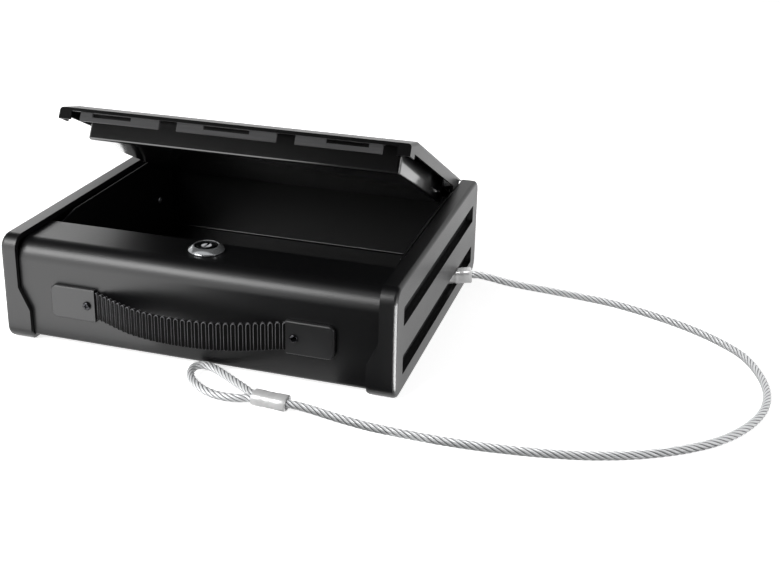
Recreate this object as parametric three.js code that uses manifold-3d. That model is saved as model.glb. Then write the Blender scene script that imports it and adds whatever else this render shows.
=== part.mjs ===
// Portable key-lock safe for a car, with a hinged lid, a carrying strap and a wire-rope tether.
// Millimetres, +Z up, the front towards -Y. Each named mesh is one physical piece.
import * as THREE from "three";
import { mergeVertices } from "three/addons/utils/BufferGeometryUtils.js";
import Module from "manifold-3d";

const wasm = await Module();
wasm.setup();

// Overall sizes
const width = 284; // over both end caps
const depth = 236; // front of the caps to their rear
const height = 78; // underside of the feet to the cap tops
const gap = 0.3; // clearance between pieces that touch
const frontCentre = -2; // X of the line that lock, strap and latch plates share
const overcut = 1; // cutting tools pass the faces that they open by this

// Facets round a full turn
const screwFacets = 20; // screws, studs and their holes
const roundFacets = 28; // heads, pins, bosses and ferrules
const lockFacets = 32; // lock and the holes that it fits

// Body sheet
const sheet = 1.5; // steel thickness
const bodyLift = 4.3; // body underside above the surface it stands on
const capProud = 3.5; // caps ahead of the body's front face
const deckDrop = 4; // deck below the cap tops
const deckDepth = 45; // front face to the deck's rear edge
const deckHem = 3; // height of the folded rear edge of the deck
const deckRadius = 14; // outer radius between front face and deck
const floorRadius = 3; // outer radius between floor and walls
const rearWallDrop = 17; // rear wall's upper edge below the cap tops
const deckSteps = 12; // flats round the front edge
const floorSteps = 4; // flats round a lower edge

// End caps
const capThickness = 11.7; // cap slab along X
const capCorner = 10; // corner radius of the cap's outline
const capFillet = 2.8; // rounding of the cap's outer edge
const capCornerSteps = 6;
const capFilletSteps = 4;
const capWall = 2.6; // moulded wall behind the outer face
const capRim = 4; // wall round the cap's edge
const footReach = 7.9; // feet inwards from the slab
const footRise = 24.5; // straight part of a foot
const flareRise = 16.5; // slope above it
const footBevelWidth = 2;
const footBevelHeight = 4.5;
const grooveDepth = 5.5;
const grooveHeight = 13.5;
const grooveMargin = 17; // end of a groove to the front or rear of the cap
const grooveCorner = 1.5;
const grooveCornerSteps = 3;
const grooveBottoms = [12.5, 47]; // lower edges of the two grooves
const trayWall = 2.2; // wall round a groove on the cap's inner side
const bossRadius = 4;
const bossRise = 36.5; // height of the screw bosses' axes
const bossMargin = 30; // outer bosses to the front or rear of the cap
const capScrewRadius = 1.7;
const capScrewHead = 3;
const capScrewHeadHeight = 1.5;
const capScrewLength = 10.5;

// End walls
const channelWidth = 3.3; // end wall to cap, where the lid's side flange hangs
const wallDrop = 1.4; // end wall's upper edge below the lid's sheet
const wallNotchFront = 1.8; // deck edge to the front of the notch for the lid's corner ear
const wallNotchRear = 1.4; // lid's hem to the rear of that notch
const wallSlopeDrop = 4.6;
const wallSlopeReach = 3.7; // end of the wall's slope behind the end of the lid's slope
const wallDeckSteps = 8; // flats where the wall follows the front edge
const wallEyeSteps = 6; // flats round the hinge

// Lid
const lidDrop = 0.5; // flat top of the closed lid below the cap tops
const lidSideGap = 0.5;
const lidFrontGap = 0.8;
const slopeLength = 21; // slope along the lid's front
const slopeDrop = 5.2;
const sideEdgeRadius = 2.5; // rounding along the lid's sides
const sideEdgeSteps = 4;
const flangeHeight = 10; // side flange below the lid's top
const earHeight = 13.7; // corner ears below the lid's top
const earWidth = 9.3; // ear across the front
const earLength = 11.7; // ear along the side
const rearFlangeHeight = 13; // side flange near the hinge
const rearFlangeLength = 19;
const rearFlangeMargin = 12.5; // flange's rear end to the hinge axis
const openAngle = THREE.MathUtils.degToRad(27); // the lid as it stands open

// Hinge
const rollRadius = 8; // outer radius of the lid's rolled rear edge
const rollInset = 0.5; // roll ahead of the caps' rear
const rollTurn = 210; // degrees that the roll turns through
const rollSteps = 20;
const rollEndGap = 0.5; // roll's ends to the end walls
const pinRadius = 2.5;
const pinHeadRadius = 4;
const pinHeadHeight = 1.2;
const pinTail = 1.7; // pin beyond the bracket
const bracketThickness = 1.6;
const bracketInset = 2.7; // end wall to bracket
const bracketLength = 37.5; // hinge axis to the bracket's front end
const bracketClearance = 1.5; // bracket's eye to the inside of the roll

// Pan under the lid
const panSideInset = 11.8; // lid's side to the pan
const panFrontInset = 3.7; // end of the lid's slope to the pan
const panRearInset = 14.5; // pan to the hinge axis
const panHeight = 21.2;
const panSheet = 1.2;
const panCorner = 2.4;
const panCornerSteps = 4;
const panEdge = 1.8;
const panEdgeSteps = 3;

// Latch plates under the lid's front, widths measured from the front centre line
const middlePlateWidth = 74;
const middleNotchWidth = 34;
const plateSpacing = 13.5;
const plateSideInset = 17.8; // lid's side to a side plate's outer end
const notchOuterMargin = 9.5;
const notchInnerMargin = 22;
const plateHang = 3.4; // plate below its notch
const plateFoot = 13; // plate's foot back along the slope

// Lock bar under the deck
const barThickness = 2;
const barDrop = 4.5; // bar's top below the deck's top
const barClearance = 0.5; // bar to the notches it passes through
const barFrontInset = 8; // front face to the bar
const barRearInset = 5.1; // bar to the deck's rear edge
const tongueSetback = 1.1; // tongue tips behind the lid's front when drawn back
const tongueClearance = 2.5; // tongue to the sides of its notch
const barEndMargin = 2;
const barrelClearance = 0.8;
const driveSheet = 1.5;
const driveMargin = 3; // pin slot to the drive's end
const driveFootThickness = 2;
const driveFootReach = 5; // foot's rear end behind the lock's axis
const slotClearance = 0.6;
const slotInner = 1; // pin slot's inner end past the lock's axis
const slotEndClearance = 2.5; // cam pin to the slot's outer end
const studOffset = 58; // guide studs from the front centre line
const studRadius = 2;
const studHeadRadius = 4.5;
const studHeadHeight = 1.8;

// Lock
const nutHemClearance = 1; // lock nut to the deck's folded edge
const plugRadius = 8;
const barrelWall = 1.5; // plug to the outside of the barrel
const barrelLength = 20;
const bezelFlange = 3; // bezel beyond the barrel
const bezelTopWall = 0.8; // plug to the outer edge of the bezel's top
const bezelStep = 1; // upright part of the bezel
const plugRecess = 0.4; // plug's face below the bezel's top
const keywayLength = 9;
const keywayWidth = 2;
const keywayDepth = 9;
const nutWall = 3.5; // barrel to the lock nut's flats
const nutThickness = 2.1;
const camThickness = 3;
const camPinRadius = 1.5;
const camPinReach = 5; // pin from the lock's axis
const camPinLength = 4;
const camScrewHead = 2.9;
const camScrewHeadHeight = 1.2;
const camScrewRadius = 1.6;
const camScrewLength = 7;
const lockTurn = THREE.MathUtils.degToRad(90);

// Carrying strap
const strapWidth = 20;
const strapThickness = 2;
const strapRise = 35.3; // height of the strap's middle line
const strapSpan = 69.3; // front centre line to the end of each cover plate
const strapUnder = 12; // strap under each cover plate
const strapBow = [
  [0, 20],
  [20, 18.6],
  [38, 14.4],
  [55, 7.2],
  [65, 2.6],
]; // distance from the centre line, distance from the front face
const strapSteps = 44; // flats along the bow
const coverLength = 33.4;
const coverWidth = 23.7;
const coverThickness = 3.4;
const coverCorner = 4; // outer corners, the strap's end being square
const coverCornerSteps = 4;
const coverEdge = 0.7;
const coverScrewInset = 5.8; // screw to the cover's inner end
const handleScrewRadius = 2;
const handleScrewHead = 3;
const handleScrewHeadHeight = 1.5;
const handleScrewTail = 1; // screw beyond its nut
const handleNutAcross = 7;
const handleNutThickness = 3;
const recessWidth = 0.9; // cross recess in the screw heads
const recessLength = 3.6;
const recessDepth = 0.8;

// Tether
const ropeRadius = 2.8;
const ropeSides = 10;
const ropeStep = 13; // length of one flat of the free rope
const eyeSteps = 24;
const innerLoopSteps = 20;
const ferruleRadius = 5.8;
const ferruleEdge = 1;
const ferruleClearance = 0.6; // ferrule to its hole in the cap
const wallHoleRadius = 7.2;
const strandSpacing = 5.9; // middle lines of two strands side by side
const postRadius = 4;
const postHeadRadius = 7;
const postHeadHeight = 2;
const postRise = 24;
const postReach = 24; // ferrule to post
const postTurn = 80; // degrees round the post, to each side of its far point
const postTurnSteps = 8;
const ferruleInset = 12.6; // cap's outer face to the ferrule's inner end
const ferruleProud = 10.5;
const ferrulePlaces = [
  [50.1, 18.6],
  [56.4, 20.7],
]; // Y and Z of the ferrule's inner and outer ends
const endFerrule = [
  [81, -149.6, 5.9],
  [57.05, -148.05, 5.9],
];
// Middle line of the free rope, from the cap's ferrule to the end ferrule
const ropeRoute = [
  [152.79, 56.48, 20.73],
  [156.6, 57.5, 20.9],
  [166, 59.8, 19],
  [176, 63, 16],
  [189, 67.6, 12.6],
  [203, 72.6, 9.6],
  [218, 77.6, 6.6],
  [233.5, 80.8, 4.2],
  [248, 80.8, 3.1],
  [263, 77.6, 2.9],
  [289.7, 67.4, 2.9],
  [315.5, 54.2, 2.9],
  [336.9, 38.7, 2.9],
  [354.2, 20.3, 2.9],
  [366.1, -7.7, 2.9],
  [370, -32.3, 2.9],
  [367.6, -54.9, 2.9],
  [358.9, -77.5, 2.9],
  [344.7, -98.7, 2.9],
  [325.2, -116.4, 2.9],
  [297.5, -133.2, 2.9],
  [269.6, -144.1, 2.9],
  [243.9, -150.1, 2.9],
  [217.7, -153.9, 2.9],
  [193.9, -156, 2.9],
  [165, -156.3, 2.9],
  [137.1, -154.9, 2.9],
  [122, -153.2, 3.3],
  [108, -151.7, 4.3],
  [96, -150.7, 5.5],
  [87, -150, 5.9],
  [81.3, -149.62, 5.9],
];
// Middle line of the eye between the two strands that leave the end ferrule
const eyeRoute = [
  [50, -141.4, 5.7],
  [41, -135.2, 5.4],
  [28, -126.6, 5.2],
  [17, -120, 5.2],
  [8.6, -118.3, 5.2],
  [4.4, -122, 5.2],
  [4.8, -129.6, 5.2],
  [9, -137.6, 5.2],
  [16.5, -145, 5.2],
  [26.5, -150.8, 5.2],
  [38.1, -153.4, 5.4],
  [49.4, -152.5, 5.7],
];

// Planes and lines worked out from the sizes above
const capFace = width / 2;
const slabInner = capFace - capThickness;
const capFerrule = [
  [capFace - ferruleInset, ...ferrulePlaces[0]],
  [capFace + ferruleProud, ...ferrulePlaces[1]],
];
const wallOuter = slabInner - channelWidth;
const wallInner = wallOuter - sheet;
const bodyFront = -depth / 2 + capProud;
const bodyRear = depth / 2 - capProud;
const bodyEnd = slabInner - gap;
const floorTop = bodyLift + sheet;
const deckTop = height - deckDrop;
const deckRear = bodyFront + deckDepth;
const deckUnder = deckTop - sheet;
const arcY = bodyFront + deckRadius;
const arcZ = deckTop - deckRadius;
const barTop = deckTop - barDrop;
const barBottom = barTop - barThickness;
const barTravel = 2 * camPinReach * Math.sin(lockTurn / 2);
const lidTop = height - lidDrop;
const lidUnder = lidTop - sheet;
const lidRim = lidTop - slopeDrop;
const lidSide = slabInner - lidSideGap;
const lidFront = deckRear + lidFrontGap;
const lidHem = barTop + barClearance;
const slopeRear = lidFront + slopeLength;
const earBottom = lidTop - earHeight;
const hingeY = depth / 2 - rollInset - rollRadius;
const hingeZ = lidTop - rollRadius;
const wallTop = lidUnder - wallDrop;
const rollHalfLength = wallInner - rollEndGap;
const bracketEye = rollRadius - sheet - bracketClearance;
const bracketOuter = wallInner - bracketInset;
const barrelRadius = plugRadius + barrelWall;
const bezelRadius = barrelRadius + bezelFlange;
const bezelTopRadius = plugRadius + bezelTopWall;
const nutAcross = 2 * (barrelRadius + nutWall);
const lockY = deckRear - sheet - nutHemClearance - nutAcross / 2;
const slotOuter = camPinReach + camPinRadius + slotEndClearance;
const driveHalfWidth = slotOuter + driveMargin;
const bezelBottom = deckTop + gap;
const barrelBottom = deckTop - barrelLength;
const camTop = barrelBottom - gap;
const camBottom = camTop - camThickness;
const driveFootTop = camBottom - 2 * gap;
const strapLine = bodyFront - gap - strapThickness / 2;
const strapFront = bodyFront - strapBow[0][1] - strapThickness / 2;
const strapBottom = strapRise - strapWidth / 2;
const coverBack = bodyFront - gap;
const coverFace = bodyFront - coverThickness;
const handleScrewX = strapSpan + coverScrewInset;
// Moving the whole by this puts the middle of its box over the origin.
const originShift = -(strapFront + depth / 2) / 2;

// Solids

function solidOf(geometry) {
  const plain = geometry.clone();
  plain.deleteAttribute("normal");
  plain.deleteAttribute("uv");
  const merged = mergeVertices(plain, 1e-4);
  const corners = new Float32Array(merged.attributes.position.array);
  const faces = new Uint32Array(merged.index.array);
  const solid = manifoldOf(corners, faces);
  return solid.volume() > 0 ? solid : manifoldOf(corners, faces.reverse());
}

function manifoldOf(corners, faces) {
  return new wasm.Manifold(new wasm.Mesh({ numProp: 3, vertProperties: corners, triVerts: faces }));
}

function geometryOf(solid) {
  const mesh = solid.getMesh();
  const geometry = new THREE.BufferGeometry();
  const corners = new Float32Array(mesh.vertProperties);
  const faces = new Uint32Array(mesh.triVerts);
  geometry.setAttribute("position", new THREE.BufferAttribute(corners, 3));
  geometry.setIndex(new THREE.BufferAttribute(faces, 1));
  const flat = geometry.toNonIndexed();
  flat.computeVertexNormals();
  return flat;
}

function join(...solids) {
  return solids.reduce((sum, solid) => sum.add(solid));
}

function cut(solid, ...tools) {
  return tools.reduce((rest, tool) => rest.subtract(tool), solid);
}

function box(x0, x1, y0, y1, z0, z1) {
  const geometry = new THREE.BoxGeometry(x1 - x0, y1 - y0, z1 - z0);
  geometry.translate((x0 + x1) / 2, (y0 + y1) / 2, (z0 + z1) / 2);
  return solidOf(geometry);
}

// An outline of two coordinates drawn out along the third
function prism(outline, length, right, up, along) {
  const shape = new THREE.Shape(outline.map(([u, v]) => new THREE.Vector2(u, v)));
  const geometry = new THREE.ExtrudeGeometry(shape, { depth: length, bevelEnabled: false });
  geometry.applyMatrix4(new THREE.Matrix4().makeBasis(right, up, along));
  return geometry;
}

const unitX = new THREE.Vector3(1, 0, 0);
const unitY = new THREE.Vector3(0, 1, 0);
const unitZ = new THREE.Vector3(0, 0, 1);

function alongX(outline, x0, x1) {
  return solidOf(prism(outline, x1 - x0, unitY, unitZ, unitX).translate(x0, 0, 0));
}

function alongY(outline, y0, y1) {
  return solidOf(prism(outline, y1 - y0, unitX, unitZ, unitY.clone().negate()).translate(0, y1, 0));
}

function alongZ(outline, z0, z1) {
  return solidOf(prism(outline, z1 - z0, unitX, unitY, unitZ).translate(0, 0, z0));
}

function rodZ(x, y, radius, z0, z1, facets = roundFacets) {
  const geometry = new THREE.CylinderGeometry(radius, radius, z1 - z0, facets);
  geometry.rotateX(Math.PI / 2);
  return solidOf(geometry.translate(x, y, (z0 + z1) / 2));
}

function rodX(y, z, radius, x0, x1, facets = roundFacets) {
  const geometry = new THREE.CylinderGeometry(radius, radius, x1 - x0, facets);
  geometry.rotateZ(Math.PI / 2);
  return solidOf(geometry.translate((x0 + x1) / 2, y, z));
}

function rodY(x, z, radius, y0, y1, facets = roundFacets) {
  const geometry = new THREE.CylinderGeometry(radius, radius, y1 - y0, facets);
  return solidOf(geometry.translate(x, (y0 + y1) / 2, z));
}

// A round bar with chamfered ends between two points
function ferruleSolid([start, end], radius, edge) {
  const from = new THREE.Vector3(...start);
  const along = new THREE.Vector3(...end).sub(from);
  const length = along.length();
  const profile = [
    [0, 0],
    [radius - edge, 0],
    [radius, edge],
    [radius, length - edge],
    [radius - edge, length],
    [0, length],
  ];
  const geometry = new THREE.LatheGeometry(pointsOf(profile), roundFacets);
  geometry.applyQuaternion(new THREE.Quaternion().setFromUnitVectors(unitY, along.normalize()));
  return solidOf(geometry.translate(...start));
}

function pointsOf(outline) {
  return outline.map(([u, v]) => new THREE.Vector2(u, v));
}

function arc(u, v, radius, from, to, steps) {
  return Array.from({ length: steps + 1 }, (_, i) => {
    const angle = THREE.MathUtils.degToRad(from + ((to - from) * i) / steps);
    return [u + radius * Math.cos(angle), v + radius * Math.sin(angle)];
  });
}

function roundedBox(u0, u1, v0, v1, radius, steps = 5) {
  return [
    ...arc(u1 - radius, v0 + radius, radius, -90, 0, steps),
    ...arc(u1 - radius, v1 - radius, radius, 0, 90, steps),
    ...arc(u0 + radius, v1 - radius, radius, 90, 180, steps),
    ...arc(u0 + radius, v0 + radius, radius, 180, 270, steps),
  ];
}

function hexagon(x, y, across) {
  return arc(x, y, across / 2 / Math.cos(Math.PI / 6), 0, 300, 5);
}

// A line moved sideways, to its left where the distance is positive
function offsetLine(line, distance) {
  const points = pointsOf(line);
  const runs = points.slice(1).map((end, i) => end.clone().sub(points[i]).normalize());
  return points.map((point, i) => {
    const before = runs[Math.max(i - 1, 0)];
    const after = runs[Math.min(i, runs.length - 1)];
    const across = new THREE.Vector2(-before.y - after.y, before.x + after.x).normalize();
    const reach = distance / (before.x * across.y - before.y * across.x);
    return [point.x + across.x * reach, point.y + across.y * reach];
  });
}

function ribbon(line, thickness) {
  return [...line, ...offsetLine(line, thickness).reverse()];
}

// Rings of equal point counts joined one to the next, with both ends closed
function stacked(rings) {
  const count = rings[0].length;
  const faces = [];
  for (let ring = 0; ring + 1 < rings.length; ring++) {
    for (let i = 0; i < count; i++) {
      const a = ring * count + i;
      const b = ring * count + ((i + 1) % count);
      faces.push(a, b, b + count, a, b + count, a + count);
    }
  }
  const last = (rings.length - 1) * count;
  for (let i = 1; i + 1 < count; i++) {
    faces.push(0, i + 1, i, last, last + i, last + i + 1);
  }
  const geometry = new THREE.BufferGeometry();
  geometry.setAttribute("position", new THREE.Float32BufferAttribute(rings.flat(2), 3));
  geometry.setIndex(faces);
  return solidOf(geometry);
}

// Steps of a quarter round: how far in and how far along at each
function quarter(radius, steps) {
  return Array.from({ length: steps + 1 }, (_, i) => {
    const angle = (Math.PI / 2) * (i / steps);
    return [radius * (1 - Math.cos(angle)), radius * Math.sin(angle)];
  });
}

function tube(points, radius, steps, sides = ropeSides) {
  const route = new THREE.CatmullRomCurve3(points.map((point) => new THREE.Vector3(...point)));
  const section = new THREE.Shape(pointsOf(arc(0, 0, radius, 0, 360 - 360 / sides, sides - 1)));
  return solidOf(new THREE.ExtrudeGeometry(section, { steps, extrudePath: route, bevelEnabled: false }));
}

function onSide(side, solid) {
  return side < 0 ? solid.mirror([1, 0, 0]) : solid;
}

// Base

function bodyShell() {
  const line = [
    [deckRear, deckTop - deckHem],
    [deckRear, deckTop],
    ...arc(arcY, arcZ, deckRadius, 90, 180, deckSteps),
    ...arc(bodyFront + floorRadius, bodyLift + floorRadius, floorRadius, 180, 270, floorSteps),
    ...arc(bodyRear - floorRadius, bodyLift + floorRadius, floorRadius, 270, 360, floorSteps),
    [bodyRear, height - rearWallDrop],
  ];
  const lockHole = rodZ(frontCentre, lockY, barrelRadius + gap, barTop, height, lockFacets);
  const screwHoles = [-1, 1].map((side) =>
    rodY(
      frontCentre + side * handleScrewX,
      strapRise,
      handleScrewRadius + gap,
      bodyFront - sheet,
      bodyFront + 2 * sheet,
      screwFacets,
    ),
  );
  return cut(alongX(ribbon(line, sheet), -bodyEnd, bodyEnd), lockHole, ...screwHoles);
}

function endWall(side) {
  const front = bodyFront + sheet + gap;
  const rear = bodyRear - sheet - gap;
  const bottom = floorTop + gap;
  const notchRear = lidFront + sheet + wallNotchRear;
  const eyeRadius = rollRadius - sheet - 2 * gap;
  const arcStart = 90 + THREE.MathUtils.radToDeg(Math.acos((wallTop - hingeZ) / eyeRadius));
  const arcEnd = THREE.MathUtils.radToDeg(Math.acos((rear - hingeY) / eyeRadius));
  const outline = [
    [front, bottom + floorRadius / 2],
    ...arc(arcY, arcZ, deckRadius - sheet - gap, 180, 90, wallDeckSteps),
    [deckRear - wallNotchFront, deckUnder - gap],
    [deckRear - wallNotchFront, earBottom - 2 * gap],
    [notchRear, earBottom - 2 * gap],
    [notchRear, wallTop - wallSlopeDrop],
    [slopeRear + wallSlopeReach, wallTop],
    ...arc(hingeY, hingeZ, eyeRadius, arcStart, arcEnd, wallEyeSteps),
    [rear, bottom + floorRadius / 2],
    [rear - floorRadius / 2, bottom],
    [front + floorRadius / 2, bottom],
  ];
  const holes = bossPlaces().map(([y]) =>
    rodX(y, bossRise, capScrewRadius + gap, wallInner - sheet, slabInner, screwFacets),
  );
  holes.push(rodX(hingeY, hingeZ, pinRadius + gap, wallInner - sheet, slabInner));
  if (side > 0) {
    const [start, direction] = ferruleAxis(capFerrule);
    const middle = start.clone().addScaledVector(direction, (wallOuter - sheet / 2 - start.x) / direction.x);
    holes.push(rodX(middle.y, middle.z, wallHoleRadius, wallInner - sheet, slabInner));
  }
  return onSide(side, cut(alongX(outline, wallInner, wallOuter), ...holes));
}

function bossPlaces() {
  return [
    [-depth / 2 + bossMargin, "front"],
    [0, "middle"],
    [depth / 2 - bossMargin, "rear"],
  ];
}

// The wrapped feet at the front and rear and the rail that joins them under the body
function feet() {
  const outer = roundedBox(-depth / 2, depth / 2, 0, height, capCorner, capCornerSteps);
  const inner = roundedBox(bodyFront - gap, bodyRear + gap, bodyLift - gap, 2 * height, floorRadius);
  const from = slabInner - footReach;
  const flareTop = footRise + flareRise;
  const face = [
    [from + footBevelWidth, -overcut],
    [slabInner + sheet, -overcut],
    [slabInner + sheet, flareTop + (sheet * flareRise) / footReach],
    [from, footRise],
    [from, footBevelHeight],
    [from + footBevelWidth, 0],
  ];
  const wrap = cut(alongX(outer, from, slabInner + sheet), alongX(inner, from - overcut, slabInner));
  return wrap.intersect(alongY(face, -depth, depth));
}

function endCap(side) {
  const outline = (inset, steps) =>
    roundedBox(-depth / 2 + inset, depth / 2 - inset, inset, height - inset, capCorner - inset, steps);
  const filletStart = capFace - capFillet;
  const rounded = quarter(capFillet, capFilletSteps).map(([inset, along]) => [inset, filletStart + along]);
  const levels = [[0, slabInner], ...rounded];
  const slab = stacked(levels.map(([inset, x]) => outline(inset, capCornerSteps).map(([y, z]) => [x, y, z])));
  const pocket = alongX(outline(capRim), slabInner - overcut, capFace - capWall);
  const grooveEnd = depth / 2 - grooveMargin;
  const trays = grooveBottoms.map((bottom) =>
    box(
      capFace - grooveDepth - trayWall,
      capFace - capWall + gap,
      -grooveEnd - trayWall,
      grooveEnd + trayWall,
      bottom - trayWall,
      bottom + grooveHeight + trayWall,
    ),
  );
  const bosses = bossPlaces().map(([y]) =>
    rodX(y, bossRise, bossRadius, wallOuter + gap, capFace - capWall + gap),
  );
  const grooves = grooveBottoms.map((bottom) =>
    alongX(
      roundedBox(-grooveEnd, grooveEnd, bottom, bottom + grooveHeight, grooveCorner, grooveCornerSteps),
      capFace - grooveDepth,
      capFace + overcut,
    ),
  );
  const screwHoles = bossPlaces().map(([y]) => {
    const end = wallInner - gap + capScrewLength + 2 * gap;
    return rodX(y, bossRise, capScrewRadius + gap, wallOuter - overcut, end, screwFacets);
  });
  const hollow = cut(join(slab, feet()), pocket);
  const plain = cut(join(hollow, ...trays, ...bosses), ...grooves, ...screwHoles);
  if (side < 0) {
    return onSide(side, plain);
  }
  return cut(plain, ferruleSolid(capFerrule, ferruleRadius + ferruleClearance, gap));
}

function capScrew(side, y) {
  const seat = wallInner - gap;
  const head = rodX(y, bossRise, capScrewHead, seat - capScrewHeadHeight, seat);
  const from = seat - capScrewHeadHeight / 2;
  const shank = rodX(y, bossRise, capScrewRadius, from, seat + capScrewLength, screwFacets);
  return onSide(side, join(head, shank));
}

function hingePin(side) {
  const seat = wallOuter + gap;
  const head = rodX(hingeY, hingeZ, pinHeadRadius, seat, seat + pinHeadHeight);
  const tail = bracketOuter - bracketThickness - pinTail;
  return onSide(side, join(head, rodX(hingeY, hingeZ, pinRadius, tail, seat + pinHeadHeight / 2)));
}

// Lid, in its closed place

// The lid's outer form, or the space under its sheet where it is inset
function lidForm(inset) {
  const side = lidSide - inset;
  const radius = sideEdgeRadius - inset;
  const top = [
    [lidFront, lidRim],
    [slopeRear, lidTop],
    [hingeY + inset, lidTop],
  ];
  const [rim, ridge, rear] = inset > 0 ? offsetLine([[lidFront, earBottom], ...top], -inset).slice(1) : top;
  const bottom = earBottom - inset;
  const section = ([drop, along]) => [
    [side - radius + along, rim[0], bottom],
    [side - radius + along, rim[0], rim[1] - drop],
    [side - radius + along, ridge[0], ridge[1] - drop],
    [side - radius + along, rear[0], rear[1] - drop],
    [side - radius + along, rear[0], bottom],
  ];
  const half = quarter(radius, sideEdgeSteps).map(section);
  const otherHalf = half.map((ring) => ring.map(([x, y, z]) => [-x, y, z])).reverse();
  return stacked([...otherHalf, ...half]);
}

function lidPanel() {
  const hollow = lidForm(sheet);
  const flangeEnd = hingeY - rearFlangeMargin;
  const deepStart = flangeEnd - rearFlangeLength;
  const far = lidSide + overcut;
  const low = earBottom - 2 * sheet;
  const earInner = lidSide - earWidth;
  const between = box(-earInner, earInner, lidFront - overcut, lidFront + 2 * sheet, low, lidHem);
  const alongSides = box(-far, far, lidFront + earLength, deepStart, low, lidTop - flangeHeight);
  const nearHinge = box(-far, far, deepStart - overcut, flangeEnd, low, lidTop - rearFlangeHeight);
  const pastFlange = box(-far, far, flangeEnd, hingeY + overcut, low, lidUnder);
  const roll = [
    [hingeY - rollRadius, lidTop],
    ...arc(hingeY, hingeZ, rollRadius, 90, 90 - rollTurn, rollSteps),
  ];
  const bent = cut(lidForm(0), hollow, between, alongSides, nearHinge, pastFlange);
  return join(bent, alongX(ribbon(roll, -sheet), -rollHalfLength, rollHalfLength));
}

function lidPan() {
  const side = lidSide - panSideInset;
  const front = slopeRear + panFrontInset;
  const rear = hingeY - panRearInset;
  const top = lidUnder - gap;
  const form = (inset, upper) => {
    const edge = panEdge - inset;
    const bottom = top - panHeight + inset;
    const ring = (extra, z) => {
      const all = inset + extra;
      const corner = panCorner - all;
      const outline = roundedBox(-side + all, side - all, front + all, rear - all, corner, panCornerSteps);
      return outline.map(([x, y]) => [x, y, z]);
    };
    const rounded = quarter(edge, panEdgeSteps).reverse();
    const lower = rounded.map(([extra, along]) => ring(extra, bottom + edge - along));
    return stacked([...lower, ring(0, upper)]);
  };
  return cut(form(0, top), form(panSheet, top + overcut));
}

function latchPlates() {
  const sideTo = lidSide - plateSideInset;
  const sideFrom = middlePlateWidth / 2 + plateSpacing;
  return {
    left: {
      from: -sideTo,
      to: -sideFrom,
      notch: [-sideTo + notchOuterMargin, -sideFrom - notchInnerMargin],
    },
    middle: {
      from: -middlePlateWidth / 2,
      to: middlePlateWidth / 2,
      notch: [-middleNotchWidth / 2, middleNotchWidth / 2],
    },
    right: {
      from: sideFrom,
      to: sideTo,
      notch: [sideFrom + notchInnerMargin, sideTo - notchOuterMargin],
    },
  };
}

function latchPlate({ from, to, notch }) {
  const slope = offsetLine(
    [
      [lidFront, lidRim],
      [slopeRear, lidTop],
    ],
    -sheet - gap,
  );
  const rise = (slope[1][1] - slope[0][1]) / (slope[1][0] - slope[0][0]);
  const front = lidFront + sheet + gap;
  const slopeAt = (y) => slope[0][1] + (y - slope[0][0]) * rise;
  const notchBottom = barBottom - barClearance;
  const line = [
    [front, notchBottom - plateHang],
    [front, slopeAt(front)],
    [front + plateFoot, slopeAt(front + plateFoot)],
  ];
  const plate = alongX(ribbon(line, -sheet), frontCentre + from, frontCentre + to);
  const opening = box(
    frontCentre + notch[0],
    frontCentre + notch[1],
    front - overcut,
    front + 2 * sheet,
    notchBottom,
    barTop + barClearance,
  );
  return cut(plate, opening);
}

function hingeBracket(side) {
  const top = lidUnder - gap;
  const leg = [
    [hingeY - bracketLength, top],
    [hingeY - bracketLength, top - bracketEye],
    [hingeY - bracketLength + bracketEye, hingeZ - bracketEye + sheet],
    [hingeY, hingeZ - bracketEye],
    [hingeY, hingeZ + bracketEye],
    [hingeY - bracketEye / 2, top],
  ];
  const inner = bracketOuter - bracketThickness;
  const eye = rodX(hingeY, hingeZ, bracketEye, inner, bracketOuter);
  const hole = rodX(hingeY, hingeZ, pinRadius + gap, inner - overcut, bracketOuter + overcut);
  return onSide(side, cut(join(alongX(leg, inner, bracketOuter), eye), hole));
}

// Lock

function lockHousing() {
  const bore = plugRadius + gap;
  const profile = [
    [bore, barrelBottom],
    [barrelRadius, barrelBottom],
    [barrelRadius, bezelBottom],
    [bezelRadius, bezelBottom],
    [bezelRadius, bezelBottom + bezelStep],
    [bezelTopRadius, height],
    [bore, height],
    [bore, barrelBottom],
  ];
  const geometry = new THREE.LatheGeometry(pointsOf(profile), lockFacets);
  geometry.rotateX(Math.PI / 2);
  return solidOf(geometry.translate(frontCentre, lockY, 0));
}

function lockNut() {
  const top = deckUnder - gap;
  const hole = rodZ(frontCentre, lockY, barrelRadius + gap, top - 2 * nutThickness, deckTop, lockFacets);
  return cut(alongZ(hexagon(frontCentre, lockY, nutAcross), top - nutThickness, top), hole);
}

// The plug, cam and cam screw turn about the lock's axis and are built on it.

function lockPlug() {
  const face = height - plugRecess;
  const body = rodZ(0, 0, plugRadius, barrelBottom, face, lockFacets);
  const keyway = box(
    -keywayWidth / 2,
    keywayWidth / 2,
    -keywayLength / 2,
    keywayLength / 2,
    face - keywayDepth,
    face + overcut,
  );
  const threadTop = camTop + camScrewLength;
  const thread = rodZ(0, 0, camScrewRadius + gap, barrelBottom - overcut, threadTop, screwFacets);
  return cut(body, keyway, thread);
}

function lockCam() {
  const disc = rodZ(0, 0, plugRadius, camBottom, camTop, lockFacets);
  const angle = -lockTurn / 2;
  const pinX = camPinReach * Math.cos(angle);
  const pinY = camPinReach * Math.sin(angle);
  const pinTop = camTop - camThickness / 2;
  const pin = rodZ(pinX, pinY, camPinRadius, camBottom - camPinLength, pinTop, screwFacets);
  const seatTop = camBottom + camScrewHeadHeight + gap;
  const seat = rodZ(0, 0, camScrewHead + gap, camBottom - overcut, seatTop);
  const hole = rodZ(0, 0, camScrewRadius + gap, camBottom - overcut, camTop + overcut, screwFacets);
  return cut(disc, seat, hole).add(pin);
}

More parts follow.
